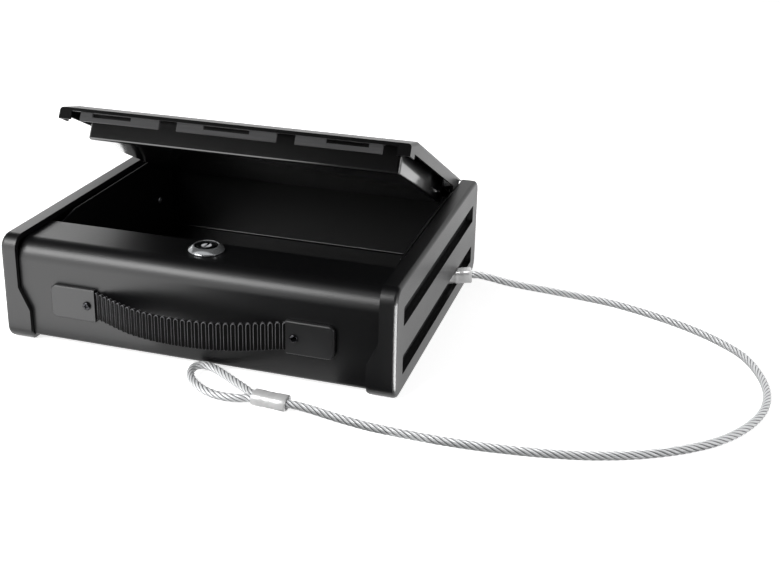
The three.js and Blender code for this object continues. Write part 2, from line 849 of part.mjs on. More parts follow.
function camScrew() {
  const head = rodZ(0, 0, camScrewHead, camBottom, camBottom + camScrewHeadHeight);
  const from = camBottom + camScrewHeadHeight / 2;
  return head.add(rodZ(0, 0, camScrewRadius, from, camTop + camScrewLength - 2 * gap, screwFacets));
}

// The bar that the cam pushes back through the latch plates' notches, shown drawn forward
function lockBar() {
  const front = bodyFront + barFrontInset;
  const rear = deckRear - barRearInset;
  const tip = lidFront + tongueSetback;
  const { middle, right } = latchPlates();
  const tongues = [
    [-right.notch[1] + tongueClearance, -right.notch[0] - tongueClearance],
    [middle.notch[0] + tongueClearance, middle.notch[1] - tongueClearance],
    [right.notch[0] + tongueClearance, right.notch[1] - tongueClearance],
  ];
  const end = tongues[2][1] + barEndMargin;
  const plate = box(-end, end, front, rear, barBottom, barTop);
  const reach = tongues.map(([from, to]) => box(from, to, rear - overcut, tip, barBottom, barTop));
  const legTop = barBottom + gap;
  const footBottom = driveFootTop - driveFootThickness;
  const footRear = lockY + driveFootReach;
  const leg = box(-driveHalfWidth, driveHalfWidth, front, front + driveSheet, footBottom, legTop);
  const foot = box(-driveHalfWidth, driveHalfWidth, front, footRear, footBottom, driveFootTop);
  const barrelHalf = barrelRadius + barrelClearance;
  const barrelSlot = box(
    -barrelHalf,
    barrelHalf,
    lockY - barrelHalf - barTravel,
    lockY + barrelRadius + gap,
    barBottom - overcut,
    barTop + overcut,
  );
  const pinLine = lockY - barTravel / 2;
  const pinHalf = camPinRadius + slotClearance;
  const pinSlot = box(
    -slotInner,
    slotOuter,
    pinLine - pinHalf,
    pinLine + pinHalf,
    footBottom - overcut,
    driveFootTop + overcut,
  );
  const studHalf = studRadius + gap;
  const studSlots = [-1, 1].map((side) =>
    box(
      side * studOffset - studHalf,
      side * studOffset + studHalf,
      lockY - studHalf - barTravel,
      lockY + studHalf,
      barBottom - overcut,
      barTop + overcut,
    ),
  );
  const bar = cut(join(plate, ...reach, leg, foot), barrelSlot, pinSlot, ...studSlots);
  return bar.translate([frontCentre, 0, 0]);
}

function barStud(side) {
  const x = frontCentre + side * studOffset;
  const seat = barBottom - gap;
  const head = rodZ(x, lockY, studHeadRadius, seat - studHeadHeight, seat);
  return head.add(rodZ(x, lockY, studRadius, seat - studHeadHeight / 2, deckUnder - gap, screwFacets));
}

// Carrying strap

function handleStrap() {
  const halfBow = [...strapBow.map(([x, out]) => [x, bodyFront - out]), [strapSpan, strapLine]];
  const tail = [
    [strapSpan + strapUnder / 2, strapLine],
    [strapSpan + strapUnder, strapLine],
  ];
  const free = [...halfBow.slice(1).reverse().map(([x, y]) => [-x, y]), ...halfBow];
  const bow = new THREE.SplineCurve(pointsOf(free)).getPoints(strapSteps).map((point) => [point.x, point.y]);
  const line = [...tail.map(([x, y]) => [-x, y]).reverse(), ...bow, ...tail];
  const half = strapThickness / 2;
  const outline = [...offsetLine(line, half), ...offsetLine(line, -half).reverse()];
  const radius = handleScrewRadius + gap;
  const holes = [-1, 1].map((side) =>
    rodY(side * handleScrewX, strapRise, radius, coverFace - overcut, bodyFront, screwFacets),
  );
  const strap = cut(alongZ(outline, strapBottom, strapBottom + strapWidth), ...holes);
  return strap.translate([frontCentre, 0, 0]);
}

function handlePlate(side) {
  const cornerX = strapSpan + coverLength - coverCorner;
  const cornerDrop = coverWidth / 2 - coverCorner;
  const ring = (inset, y) => {
    const radius = coverCorner - inset;
    const outline = [
      [strapSpan, strapRise - coverWidth / 2 + inset],
      ...arc(cornerX, strapRise - cornerDrop, radius, -90, 0, coverCornerSteps),
      ...arc(cornerX, strapRise + cornerDrop, radius, 0, 90, coverCornerSteps),
      [strapSpan, strapRise + coverWidth / 2 - inset],
    ];
    return outline.map(([x, z]) => [x, y, z]);
  };
  const block = stacked([ring(0, coverBack), ring(0, coverFace + coverEdge), ring(coverEdge, coverFace)]);
  const slot = box(
    strapSpan - overcut,
    strapSpan + strapUnder + gap,
    strapLine - strapThickness / 2 - gap,
    coverBack + overcut,
    strapBottom - gap,
    strapBottom + strapWidth + gap,
  );
  const radius = handleScrewRadius + gap;
  const hole = rodY(handleScrewX, strapRise, radius, coverFace - overcut, bodyFront, screwFacets);
  return onSide(side, cut(block, slot, hole)).translate([frontCentre, 0, 0]);
}

function handleScrew(side) {
  const x = frontCentre + side * handleScrewX;
  const seat = coverFace - gap;
  const face = seat - handleScrewHeadHeight;
  const tail = bodyFront + sheet + gap + handleNutThickness + handleScrewTail;
  const head = rodY(x, strapRise, handleScrewHead, face, seat);
  const from = seat - handleScrewHeadHeight / 2 + gap;
  const shank = rodY(x, strapRise, handleScrewRadius, from, tail, screwFacets);
  const half = recessLength / 2;
  const thin = recessWidth / 2;
  const recess = [
    box(x - half, x + half, face - overcut, face + recessDepth, strapRise - thin, strapRise + thin),
    box(x - thin, x + thin, face - overcut, face + recessDepth, strapRise - half, strapRise + half),
  ];
  return cut(join(head, shank), ...recess);
}

function handleNut(side) {
  const x = frontCentre + side * handleScrewX;
  const front = bodyFront + sheet + gap;
  const rear = front + handleNutThickness;
  const nut = alongY(hexagon(x, strapRise, handleNutAcross), front, rear);
  const radius = handleScrewRadius + gap;
  return nut.subtract(rodY(x, strapRise, radius, front - overcut, rear + overcut, screwFacets));
}

// Tether

function ferruleAxis([start, end]) {
  const from = new THREE.Vector3(...start);
  return [from, new THREE.Vector3(...end).sub(from).normalize()];
}

// Where the strand on one side leaves the end of a ferrule, and a point further along it
function strandStart([start, end], side, distance) {
  const [, direction] = ferruleAxis([start, end]);
  const across = new THREE.Vector3().crossVectors(unitZ, direction).normalize();
  const point = new THREE.Vector3(...end).addScaledVector(direction, distance);
  return point.addScaledVector(across, (side * strandSpacing) / 2).toArray();
}

function tetherCable() {
  const route = new THREE.CatmullRomCurve3(ropeRoute.map((point) => new THREE.Vector3(...point)));
  return tube(ropeRoute, ropeRadius, Math.round(route.getLength() / ropeStep));
}

function cableEye() {
  const leave = [gap, ropeRadius].map((distance) => strandStart(endFerrule, -1, distance));
  const back = [ropeRadius, gap].map((distance) => strandStart(endFerrule, 1, distance));
  return tube([...leave, ...eyeRoute, ...back], ropeRadius, eyeSteps);
}

function postPlace() {
  const [start, direction] = ferruleAxis(capFerrule);
  return start.addScaledVector(direction, -postReach);
}

// The rope's inner end, from the cap's ferrule round the post and back
function cableInnerLoop() {
  const inward = [capFerrule[1], capFerrule[0]];
  const [, direction] = ferruleAxis(inward);
  const across = new THREE.Vector3().crossVectors(unitZ, direction).normalize();
  const turnRadius = postRadius + 2 * gap + ropeRadius;
  const round = arc(0, 0, turnRadius, -postTurn, postTurn, postTurnSteps).map(([along, aside]) =>
    postPlace().addScaledVector(direction, along).addScaledVector(across, aside).toArray(),
  );
  const leave = [gap, 2 * ropeRadius].map((distance) => strandStart(inward, -1, distance));
  const back = [2 * ropeRadius, gap].map((distance) => strandStart(inward, 1, distance));
  return tube([...leave, ...round, ...back], ropeRadius, innerLoopSteps);
}

function cablePost() {
  const { x, y } = postPlace();
  const bottom = floorTop + gap;
  const top = bottom + postRise;
  const shank = rodZ(x, y, postRadius, bottom, top);
  return shank.add(rodZ(x, y, postHeadRadius, top - gap, top + postHeadHeight));
}

// Materials

const looks = {
  paintedSteel: { color: "#17181a", roughness: 0.5, metalness: 0.1 },
  mouldedCap: { color: "#2b2c2e", roughness: 0.45, metalness: 0 },
  latchSteel: { color: "#4b4b4d", roughness: 0.45, metalness: 0.6 },
  darkLock: { color: "#5a5b5e", roughness: 0.25, metalness: 1 },
  zincSteel: { color: "#a9abae", roughness: 0.4, metalness: 1 },
  webbing: { color: "#101112", roughness: 0.85, metalness: 0 },
  blackScrew: { color: "#1b1b1c", roughness: 0.4, metalness: 0.8 },
  wireRope: { color: "#b4b6b8", roughness: 0.4, metalness: 0.8 },
  crimpedMetal: { color: "#8f9194", roughness: 0.45, metalness: 0.9 },
};

function piece(name, solid, look) {
  const mesh = new THREE.Mesh(geometryOf(solid), new THREE.MeshStandardMaterial(looks[look]));
  mesh.name = name;
  return mesh;
}

// A group whose own frame is at the given point, holding pieces built in the common frame
function groupAt(x, y, z, ...pieces) {
  const group = new THREE.Group();
  group.position.set(x, y, z);
  for (const mesh of pieces) {
    mesh.position.set(-x, -y, -z);
    group.add(mesh);
  }
  return group;
}

// Assembly

const sides = [
  ["left", -1],
  ["right", 1],
];

const safe = new THREE.Group();
safe.position.y = originShift;
safe.add(piece("body_shell", bodyShell(), "paintedSteel"));
for (const [name, side] of sides) {
  safe.add(piece(`end_wall_${name}`, endWall(side), "paintedSteel"));
  safe.add(piece(`end_cap_${name}`, endCap(side), "mouldedCap"));
  for (const [y, place] of bossPlaces()) {
    safe.add(piece(`cap_screw_${name}_${place}`, capScrew(side, y), "zincSteel"));
  }
  safe.add(piece(`hinge_pin_${name}`, hingePin(side), "zincSteel"));
  safe.add(piece(`bar_stud_${name}`, barStud(side), "zincSteel"));
  safe.add(piece(`handle_plate_${name}`, handlePlate(side), "mouldedCap"));
  safe.add(piece(`handle_screw_${name}`, handleScrew(side), "blackScrew"));
  safe.add(piece(`handle_nut_${name}`, handleNut(side), "zincSteel"));
}
safe.add(piece("handle_strap", handleStrap(), "webbing"));
safe.add(piece("lock_housing", lockHousing(), "darkLock"));
safe.add(piece("lock_nut", lockNut(), "zincSteel"));
safe.add(piece("lock_bar", lockBar(), "zincSteel"));
safe.add(piece("cable_post", cablePost(), "zincSteel"));
safe.add(piece("cable_inner_loop", cableInnerLoop(), "wireRope"));
safe.add(piece("cable_ferrule_cap", ferruleSolid(capFerrule, ferruleRadius, ferruleEdge), "crimpedMetal"));
safe.add(piece("tether_cable", tetherCable(), "wireRope"));
safe.add(piece("cable_ferrule_end", ferruleSolid(endFerrule, ferruleRadius, ferruleEdge), "crimpedMetal"));
safe.add(piece("cable_eye", cableEye(), "wireRope"));

const lockCore = new THREE.Group();
lockCore.position.set(frontCentre, lockY, 0);
lockCore.add(piece("lock_plug", lockPlug(), "darkLock"));
lockCore.add(piece("lock_cam", lockCam(), "zincSteel"));
lockCore.add(piece("cam_screw", camScrew(), "zincSteel"));
safe.add(lockCore);

const lidPieces = [
  piece("lid_panel", lidPanel(), "paintedSteel"),
  piece("lid_pan", lidPan(), "paintedSteel"),
  ...Object.entries(latchPlates()).map(([name, plate]) =>
    piece(`latch_plate_${name}`, latchPlate(plate), "latchSteel"),
  ),
  ...sides.map(([name, side]) => piece(`hinge_bracket_${name}`, hingeBracket(side), "paintedSteel")),
];
const lid = groupAt(0, hingeY, hingeZ, ...lidPieces);
lid.rotation.x = -openAngle;
safe.add(lid);

export default safe;
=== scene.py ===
import math

import bmesh
import bpy
from mathutils import Matrix, Vector


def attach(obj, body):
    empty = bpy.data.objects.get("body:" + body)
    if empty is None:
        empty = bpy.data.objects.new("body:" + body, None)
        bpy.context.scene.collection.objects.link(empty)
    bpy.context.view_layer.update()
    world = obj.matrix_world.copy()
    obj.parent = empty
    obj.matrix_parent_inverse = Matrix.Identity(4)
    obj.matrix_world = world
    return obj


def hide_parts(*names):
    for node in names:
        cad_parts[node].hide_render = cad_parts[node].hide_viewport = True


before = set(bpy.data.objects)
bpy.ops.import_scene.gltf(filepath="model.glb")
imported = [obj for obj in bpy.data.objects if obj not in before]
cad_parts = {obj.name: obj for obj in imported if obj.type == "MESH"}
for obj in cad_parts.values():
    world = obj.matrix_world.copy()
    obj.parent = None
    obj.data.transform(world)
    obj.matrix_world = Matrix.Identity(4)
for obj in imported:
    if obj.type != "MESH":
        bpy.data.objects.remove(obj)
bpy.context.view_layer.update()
scene = bpy.context.scene


# Camera: it stands in front of the safe, a little to the right of it and above it.
# The frame is wide enough to take in the whole tether on the floor.
def in_scene(name, data):
    """A new object of this mesh, lamp or lens, in the scene."""
    thing = bpy.data.objects.new(name, data)
    scene.collection.objects.link(thing)
    return thing


turn = math.radians(17.07)
lift = math.radians(19.77)
roll = math.radians(1.01)
aim = Vector((0.08286, 0.00875, 0.09186))
away = Vector((math.sin(turn) * math.cos(lift), -math.cos(turn) * math.cos(lift), math.sin(lift)))
distance = 0.86116
lens = bpy.data.cameras.new("camera")
lens.sensor_width = 36
lens.lens = 55.435
lens.shift_x = 0.0333
lens.shift_y = -0.1186
camera = in_scene("camera", lens)
facing = away.to_track_quat("Z", "Y").to_matrix().to_4x4() @ Matrix.Rotation(roll, 4, "Z")
camera.matrix_world = Matrix.Translation(aim + distance * away) @ facing
scene.camera = camera


# Tether rope: galvanised steel wire rope of six strands laid round a core, and stiff enough to keep
# its bend. It leaves the ferrule in the right end cap, lies on the floor and ends in a crimped eye.
class Wire:
    """An output of a node tree. Arithmetic on it adds Math nodes, and add() adds any other node."""

    def __init__(self, tree, socket=None):
        self.tree = tree
        self.socket = socket

    def add(self, kind, settings=None, values=None, output=0):
        """One output of a new node with these settings, and these values or links on its inputs."""
        node = self.tree.nodes.new(kind)
        for name, value in (settings or {}).items():
            setattr(node, name, value)
        self.fill(node, values or {})
        return Wire(self.tree, socket_of(node.outputs, output))

    def fill(self, node, values):
        """Sets a node's inputs. A wire is linked, and so is each wire of a list."""
        for name, value in values.items():
            place = socket_of(node.inputs, name)
            for item in value if isinstance(value, list) else [value]:
                if isinstance(item, Wire):
                    self.tree.links.new(item.socket, place)
                else:
                    place.default_value = item

    def also(self, output):
        """Another output of the same node."""
        return Wire(self.tree, socket_of(self.socket.node.outputs, output))

    def math(self, operation, *values):
        """A Math node on these numbers or wires."""
        return self.add("ShaderNodeMath", {"operation": operation}, dict(enumerate(values)))

    def __add__(self, other):
        return self.math("ADD", self, other)

    def __radd__(self, other):
        return self.math("ADD", other, self)

    def __sub__(self, other):
        return self.math("SUBTRACT", self, other)

    def __rsub__(self, other):
        return self.math("SUBTRACT", other, self)

    def __mul__(self, other):
        return self.math("MULTIPLY", self, other)

    def __truediv__(self, other):
        return self.math("DIVIDE", self, other)

    def __pow__(self, other):
        return self.math("POWER", self, other)

    def limited(self, low, high):
        """0 below one value and 1 above another, turning smoothly between them."""
        values = {"Value": self, "From Min": low, "From Max": high}
        return self.add("ShaderNodeMapRange", {"interpolation_type": "SMOOTHSTEP"}, values)

    def blend(self, low, high):
        """One colour where this is 0 and another where it is 1."""
        values = {"Factor_Float": self, "A_Color": low, "B_Color": high}
        return self.add("ShaderNodeMix", {"data_type": "RGBA"}, values, "Result_Color")

    def noise(self, scale, detail=2.0):
        """Cloudy noise on this position, with so many patches to the metre."""
        return self.add("ShaderNodeTexNoise", None, {"Vector": self, "Scale": scale, "Detail": detail})

    def split(self):
        """The X, Y and Z of this vector."""
        parts = self.add("ShaderNodeSeparateXYZ", None, {"Vector": self})
        return parts, parts.also("Y"), parts.also("Z")

    def store(self, name, value, kind="FLOAT"):
        """This geometry with a value kept under a name on each of its points."""
        values = {"Geometry": self, "Name": name, "Value": value}
        settings = {"data_type": kind, "domain": "POINT"}
        return self.add("GeometryNodeStoreNamedAttribute", settings, values)

    def swept(self, section):
        """A closed skin with such a section along this curve."""
        values = {"Curve": self, "Profile Curve": section, "Fill Caps": True}
        return self.add("GeometryNodeCurveToMesh", None, values)

    def bump(self, depth, strength=1.0):
        """Normals tilted by this height, which 1 raises by the depth in metres."""
        values = {"Height": self, "Distance": depth, "Strength": strength}
        return self.add("ShaderNodeBump", None, values)


def socket_of(sockets, key):
    """The socket with this number, identifier or name."""
    if isinstance(key, int):
        return sockets[key]
    return next(socket for socket in sockets if key in (socket.identifier, socket.name))


def colour(red, green, blue):
    """A colour as a screen shows it, 0 to 255, turned to linear light."""
    parts = [part / 255 for part in (red, green, blue)]
    linear = [part / 12.92 if part < 0.04045 else ((part + 0.055) / 1.055) ** 2.4 for part in parts]
    return (*linear, 1)


def finish(name, **constants):
    """A material with these values, its shader, a wire to start its tree with, and each point's place."""
    material = bpy.data.materials.new(name)
    material.use_nodes = True
    shader = material.node_tree.nodes["Principled BSDF"]
    start = Wire(material.node_tree)
    start.fill(shader, {key.replace("_", " "): value for key, value in constants.items()})
    return material, shader, start, start.add("ShaderNodeTexCoord", output="Object")


def new_tree(name, sizes):
    """A tree of Geometry Nodes with named inputs, and the wires of its geometry and its sizes."""
    tree = bpy.data.node_groups.new(name, "GeometryNodeTree")
    tree.interface.new_socket("Geometry", in_out="OUTPUT", socket_type="NodeSocketGeometry")
    tree.interface.new_socket("Geometry", in_out="INPUT", socket_type="NodeSocketGeometry")
    for size, kind in sizes.items():
        tree.interface.new_socket(size, in_out="INPUT", socket_type=f"NodeSocket{kind}")
    source = tree.nodes.new("NodeGroupInput")
    return tree, [Wire(tree, socket) for socket in source.outputs if socket.name]


def end_tree(shape, material):
    """Closes a tree: its instances made real, smooth, and in their material."""
    real = shape.add("GeometryNodeRealizeInstances", None, {"Geometry": shape})
    soft = real.add("GeometryNodeSetShadeSmooth", None, {"Geometry": real})
    dressed = soft.add("GeometryNodeSetMaterial", None, {"Geometry": soft, "Material": material})
    dressed.tree.links.new(dressed.socket, dressed.tree.nodes.new("NodeGroupOutput").inputs[0])


def grown(name, mesh, tree, **sizes):
    """The plain mesh that a tree makes out of another, with its inputs set to these sizes."""
    holder = in_scene(name, mesh)
    modifier = holder.modifiers.new("tree", "NODES")
    modifier.node_group = tree
    for item in tree.interface.items_tree:
        if item.in_out == "INPUT" and item.name in sizes:
            modifier[item.identifier] = sizes[item.name]
    made = settled(holder)
    bpy.data.objects.remove(holder)
    return made


def settled(holder):
    """The mesh of an object with its modifiers worked in."""
    graph = bpy.context.evaluated_depsgraph_get()
    graph.update()
    mesh = bpy.data.meshes.new_from_object(
        holder.evaluated_get(graph), preserve_all_data_layers=True, depsgraph=graph
    )
    mesh.name = holder.name
    return mesh


def fitted(name, mesh, material, body, slot, *nodes):
    """The finished piece in its material, on its body, in place of these CAD nodes."""
    piece = in_scene(name, mesh)
    mesh.materials.clear()
    mesh.materials.append(material)
    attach(piece, body)
    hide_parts(*nodes)
    return piece


def through(points, spacing):
    """Points of a smooth line through the given ones, about a spacing apart."""
    points = [Vector(point) for point in points]
    ends = [2 * points[0] - points[1], *points, 2 * points[-1] - points[-2]]
    line = []
    for before, start, end, after in zip(ends, ends[1:], ends[2:], ends[3:]):
        gaps = (start - before, end - start, after - end)
        lead, span, trail = [math.sqrt(gap.length) for gap in gaps]
        leaving = (start - before) / lead - (end - before) / (lead + span) + (end - start) / span
        arriving = (end - start) / span - (after - start) / (span + trail) + (after - end) / trail
        leaving, arriving = leaving * span, arriving * span
        steps = max(1, round((end - start).length / spacing))
        for step in range(steps):
            t = step / steps
            bend = 3 * (end - start) - 2 * leaving - arriving
            twist = 2 * (start - end) + leaving + arriving
            line.append(start + t * leaving + t * t * bend + t * t * t * twist)
    return [*line, points[-1]]


def chain(name, points):
    """A mesh of one line of edges through the points."""
    mesh = bpy.data.meshes.new(name)
    mesh.from_pydata(points, [(i, i + 1) for i in range(len(points) - 1)], [])
    return mesh


# The drawing of the parts is in millimetres from the middle of the box, which stands a little behind
# the scene's origin. A ferrule is drawn by the middles of its two mouths.
bench = Matrix.Translation((0, 0.00875, 0)) @ Matrix.Scale(0.001, 4)
rope_radius = 2.8
cap_ferrule = [Vector((129.4, 50.1, 18.6)), Vector((152.5, 56.4, 20.7))]
end_ferrule = [Vector((81, -149.6, 5.9)), Vector((57.05, -148.05, 5.9))]
rope_route = [
    (152.79, 56.48, 20.73), (156.6, 57.5, 20.9), (166, 59.8, 19), (176, 63, 16), (189, 67.6, 12.6),
    (203, 72.6, 9.6), (218, 77.6, 6.6), (233.5, 80.8, 4.2), (248, 80.8, 3.1), (263, 77.6, 2.9),
    (289.7, 67.4, 2.9), (315.5, 54.2, 2.9), (336.9, 38.7, 2.9), (354.2, 20.3, 2.9), (366.1, -7.7, 2.9),
    (370, -32.3, 2.9), (367.6, -54.9, 2.9), (358.9, -77.5, 2.9), (344.7, -98.7, 2.9),
    (325.2, -116.4, 2.9), (297.5, -133.2, 2.9), (269.6, -144.1, 2.9), (243.9, -150.1, 2.9),
    (217.7, -153.9, 2.9), (193.9, -156, 2.9), (165, -156.3, 2.9), (137.1, -154.9, 2.9),
    (122, -153.2, 3.3), (108, -151.7, 4.3), (96, -150.7, 5.5), (87, -150, 5.9), (81.3, -149.62, 5.9),
]

# A strand's fine wires, and how far along it they go once round it. They show as a bump.
wires_round, wire_lay = 11, 7
galvanised, shader, start, place = finish("galvanised_wire", Metallic=0.2, Roughness=0.4)
height = start.add("ShaderNodeAttribute", {"attribute_name": "height"}, output="Fac")
along = start.add("ShaderNodeAttribute", {"attribute_name": "along"}, output="Fac")
around = start.add("ShaderNodeAttribute", {"attribute_name": "around"}, output="Vector")
side_x, side_y, _ = around.split()
angle = around.math("ARCTAN2", side_y, side_x)
twisted = angle * wires_round + along * (2 * math.pi / wire_lay)
wires = twisted.math("SINE", twisted)
patch = place.noise(160)
# The rope is painted darker in the valleys between its strands, towards the core: painted shade.
painted_valley_shade = height.limited(0.8, 0.96)
metal = patch.blend(colour(186, 187, 188), colour(206, 207, 208))
start.fill(shader, {
    "Base Color": painted_valley_shade.blend(colour(84, 85, 87), metal),
    "Roughness": 0.36 + patch * 0.12,
    "Normal": (wires * 0.5 + patch * 0.3).bump(0.00008, 0.6),
})

# Each strand is a round bar led round the rope's middle line, and carries how far along, how far
# round and how far out each of its points lies.
laid_rope, (line, radius, lay, count, step) = new_tree(
    "laid_rope", {"Radius": "Float", "Lay": "Float", "Strands": "Int", "Step": "Float"}
)
strand_radius = radius * 0.36
core_radius = radius * 0.8
middle = line.add("GeometryNodeMeshToCurve", None, {"Mesh": line})
middle = line.add("GeometryNodeResampleCurve", {"mode": "LENGTH"}, {"Curve": middle, "Length": step})
length = line.add("GeometryNodeSplineParameter", output="Length")
middle = middle.store("along", length)
spot = line.add("GeometryNodeInputPosition")
middle = middle.store("middle", spot, "FLOAT_VECTOR")
copied = {"Geometry": middle, "Amount": count}
strands = line.add("GeometryNodeDuplicateElements", {"domain": "SPLINE"}, copied)
lead = (length / lay + strands.also("Duplicate Index") / count) * (2 * math.pi)
normal = line.add("GeometryNodeInputNormal")
tangent = line.add("GeometryNodeInputTangent")
across = line.add("ShaderNodeVectorMath", {"operation": "CROSS_PRODUCT"}, {0: tangent, 1: normal})
reach = radius - strand_radius
outwards = {0: normal, "Scale": reach * lead.math("COSINE", lead)}
sideways = {0: across, "Scale": reach * lead.math("SINE", lead)}
out = line.add("ShaderNodeVectorMath", {"operation": "SCALE"}, outwards)
aside = line.add("ShaderNodeVectorMath", {"operation": "SCALE"}, sideways)
offset = line.add("ShaderNodeVectorMath", {"operation": "ADD"}, {0: out, 1: aside})
strands = line.add("GeometryNodeSetPosition", None, {"Geometry": strands, "Offset": offset})
ring = line.add("GeometryNodeCurvePrimitiveCircle", None, {"Resolution": 12, "Radius": strand_radius})
direction = line.add("ShaderNodeVectorMath", {"operation": "NORMALIZE"}, {0: spot})
bars = strands.swept(ring.store("around", direction, "FLOAT_VECTOR"))
ring = line.add("GeometryNodeCurvePrimitiveCircle", None, {"Resolution": 18, "Radius": core_radius})
core = middle.swept(ring)
both = line.add("GeometryNodeJoinGeometry", None, {"Geometry": [bars, core]})
centre = line.add("GeometryNodeInputNamedAttribute", {"data_type": "FLOAT_VECTOR"}, {"Name": "middle"})
outward = line.add("ShaderNodeVectorMath", {"operation": "DISTANCE"}, {0: spot, 1: centre}, "Value")
end_tree(both.store("height", outward / radius), galvanised)


def rope(name, points):
    """Laid wire rope along the points, in the drawing's millimetres."""
    mesh = grown(name, chain(name, points), laid_rope, Radius=rope_radius, Lay=28.0, Strands=6, Step=1.4)
    mesh.transform(bench)
    return mesh


def tucked(mouth, far, depth=2.5):
    """A point a little way into a ferrule, where an end of the rope sits."""
    return mouth + depth * (far - mouth).normalized()


leaving = tucked(cap_ferrule[1], cap_ferrule[0])
arriving = tucked(end_ferrule[0], end_ferrule[1])
tether_line = through([leaving, *rope_route, arriving], 3)
tether_mesh = rope("tether_rope", tether_line)
tether = fitted("tether_rope", tether_mesh, galvanised, "base", "wire_rope", "tether_cable")


# Eye and inner end: the same rope. The eye is turned back on itself and crimped, to pass over a bolt
# or a hook. Inside the case the rope goes round a post, so that it can't be pulled out.
strand_spacing, post_distance, turn_radius = 5.9, 24, 7.4
eye_route = [
    (50, -141.4, 5.7), (41, -135.2, 5.4), (28, -126.6, 5.2), (17, -120, 5.2), (8.6, -118.3, 5.2),
    (4.4, -122, 5.2), (4.8, -129.6, 5.2), (9, -137.6, 5.2), (16.5, -145, 5.2), (26.5, -150.8, 5.2),
    (38.1, -153.4, 5.4), (49.4, -152.5, 5.7),
]


def strand_start(ferrule, side, distance):
    """A point on one of the two strands that leave a ferrule, so far out from its end."""
    direction = (ferrule[1] - ferrule[0]).normalized()
    across = Vector((0, 0, 1)).cross(direction).normalized()
    return ferrule[1] + distance * direction + side * strand_spacing / 2 * across


def both_strands(ferrule, far, route):
    """A line out of a ferrule on one side, along the route and back in on the other side."""
    leave = [strand_start(ferrule, -1, distance) for distance in (-2, 0.3, far)]
    back = [strand_start(ferrule, 1, distance) for distance in (far, 0.3, -2)]
    return through([*leave, *route, *back], 2)


eye_line = both_strands(end_ferrule, rope_radius, eye_route)
eye = fitted("tether_eye", rope("tether_eye", eye_line), galvanised, "base", "wire_rope", "cable_eye")

inward = cap_ferrule[::-1]
post_direction = (inward[1] - inward[0]).normalized()
post_place = cap_ferrule[0] + post_distance * post_direction
post_across = Vector((0, 0, 1)).cross(post_direction).normalized()
turn_line = [
    post_place + turn_radius * (math.cos(bend) * post_direction + math.sin(bend) * post_across)
    for bend in [math.radians(degrees) for degrees in range(-80, 81, 20)]
]
loop_line = both_strands(inward, 2 * rope_radius, turn_line)
fitted("inner_loop", rope("inner_loop", loop_line), galvanised, "base", "wire_rope", "cable_inner_loop")


# Ferrules: sleeves of soft metal pressed flat over the rope in a crimping die, which leaves shallow
# bands across them and square shoulders at the mouths.
crimped, shader, start, place = finish("crimped_sleeve", Metallic=0.35, Roughness=0.3)
brushed = place.noise(420, 4)
start.fill(shader, {
    "Base Color": brushed.blend(colour(192, 192, 192), colour(212, 212, 212)),
    "Roughness": 0.22 + brushed * 0.2,
    "Normal": (brushed + place.noise(2600, 1) * 0.4).bump(0.00006, 0.5),
})


def lofted(rings, hollow=False):
    """A closed skin over rings of points. A hollow one joins the last ring to the first."""
    form = bmesh.new()
    loops = [[form.verts.new(point) for point in ring] for ring in rings]
    for lower, upper in zip(loops, [*loops[1:], loops[0]] if hollow else loops[1:]):
        for i in range(len(lower)):
            form.faces.new((lower[i - 1], lower[i], upper[i], upper[i - 1]))
    if not hollow:
        form.faces.new(loops[0][::-1])
        form.faces.new(loops[-1])
    return form


def meshed(name, form, place=bench, sharp=35):
    """The form as a mesh in its place, smooth but for edges that turn by more than an angle."""
    form.transform(place)
    bmesh.ops.recalc_face_normals(form, faces=form.faces)
    mesh = bpy.data.meshes.new(name)
    form.to_mesh(mesh)
    form.free()
    mesh.shade_smooth()
    mesh.set_sharp_from_angle(angle=math.radians(sharp))
    return mesh


def from_to(start, end):
    """The place of a piece drawn upwards from the origin, stood from one point towards another."""
    direction = (end - start).normalized()
    return Matrix.Translation(start) @ direction.to_track_quat("Z", "Y").to_matrix().to_4x4()


def oval(half_width, half_height, power, z, corners=40):
    """A ring between a round and a square one: the higher its power, the squarer it is."""
    ring = []
    for i in range(corners):
        turned_by = 2 * math.pi * i / corners
        c, s = math.cos(turned_by), math.sin(turned_by)
        x = math.copysign(abs(c) ** (2 / power), c) * half_width
        y = math.copysign(abs(s) ** (2 / power), s) * half_height
        ring.append((x, y, z))
    return ring


def sleeve(name, ferrule, half_width, half_height, power):
    """A crimped sleeve between two points, with a rounded mouth at each end."""
    length = (ferrule[1] - ferrule[0]).length
    profile = [(1.6, 0.62), (0.5, 0.66), (0.0, 0.82), (0.25, 0.93), (0.9, 1.0)]
    crimp = 0.965
    bands = [
        (0.30, 1.0), (0.33, crimp), (0.47, crimp), (0.50, 1.0), (0.53, crimp), (0.67, crimp), (0.70, 1.0),
    ]
    rings = [oval(half_width * size, half_height * size, power, z) for z, size in profile]
    rings += [oval(half_width * size, half_height * size, power, length * part) for part, size in bands]
    rings += [oval(half_width * size, half_height * size, power, length - z) for z, size in profile[::-1]]
    upright = from_to(ferrule[0], ferrule[1])
    return meshed(name, lofted(rings), bench @ upright, sharp=50)


gland_mesh = sleeve("ferrule_cap", cap_ferrule, half_width=5.8, half_height=5.2, power=4)
gland = fitted("ferrule_cap", gland_mesh, crimped, "base", "crimped_metal", "cable_ferrule_cap")
clamp_mesh = sleeve("ferrule_end", end_ferrule, half_width=5.8, half_height=4.6, power=3)
clamp = fitted("ferrule_end", clamp_mesh, crimped, "base", "crimped_metal", "cable_ferrule_end")


def length_of(line):
    """The length in metres of a line that is drawn in millimetres."""
    return sum((end - start).length for start, end in zip(line, line[1:])) / 1000


length_of(tether_line)
length_of(eye_line)


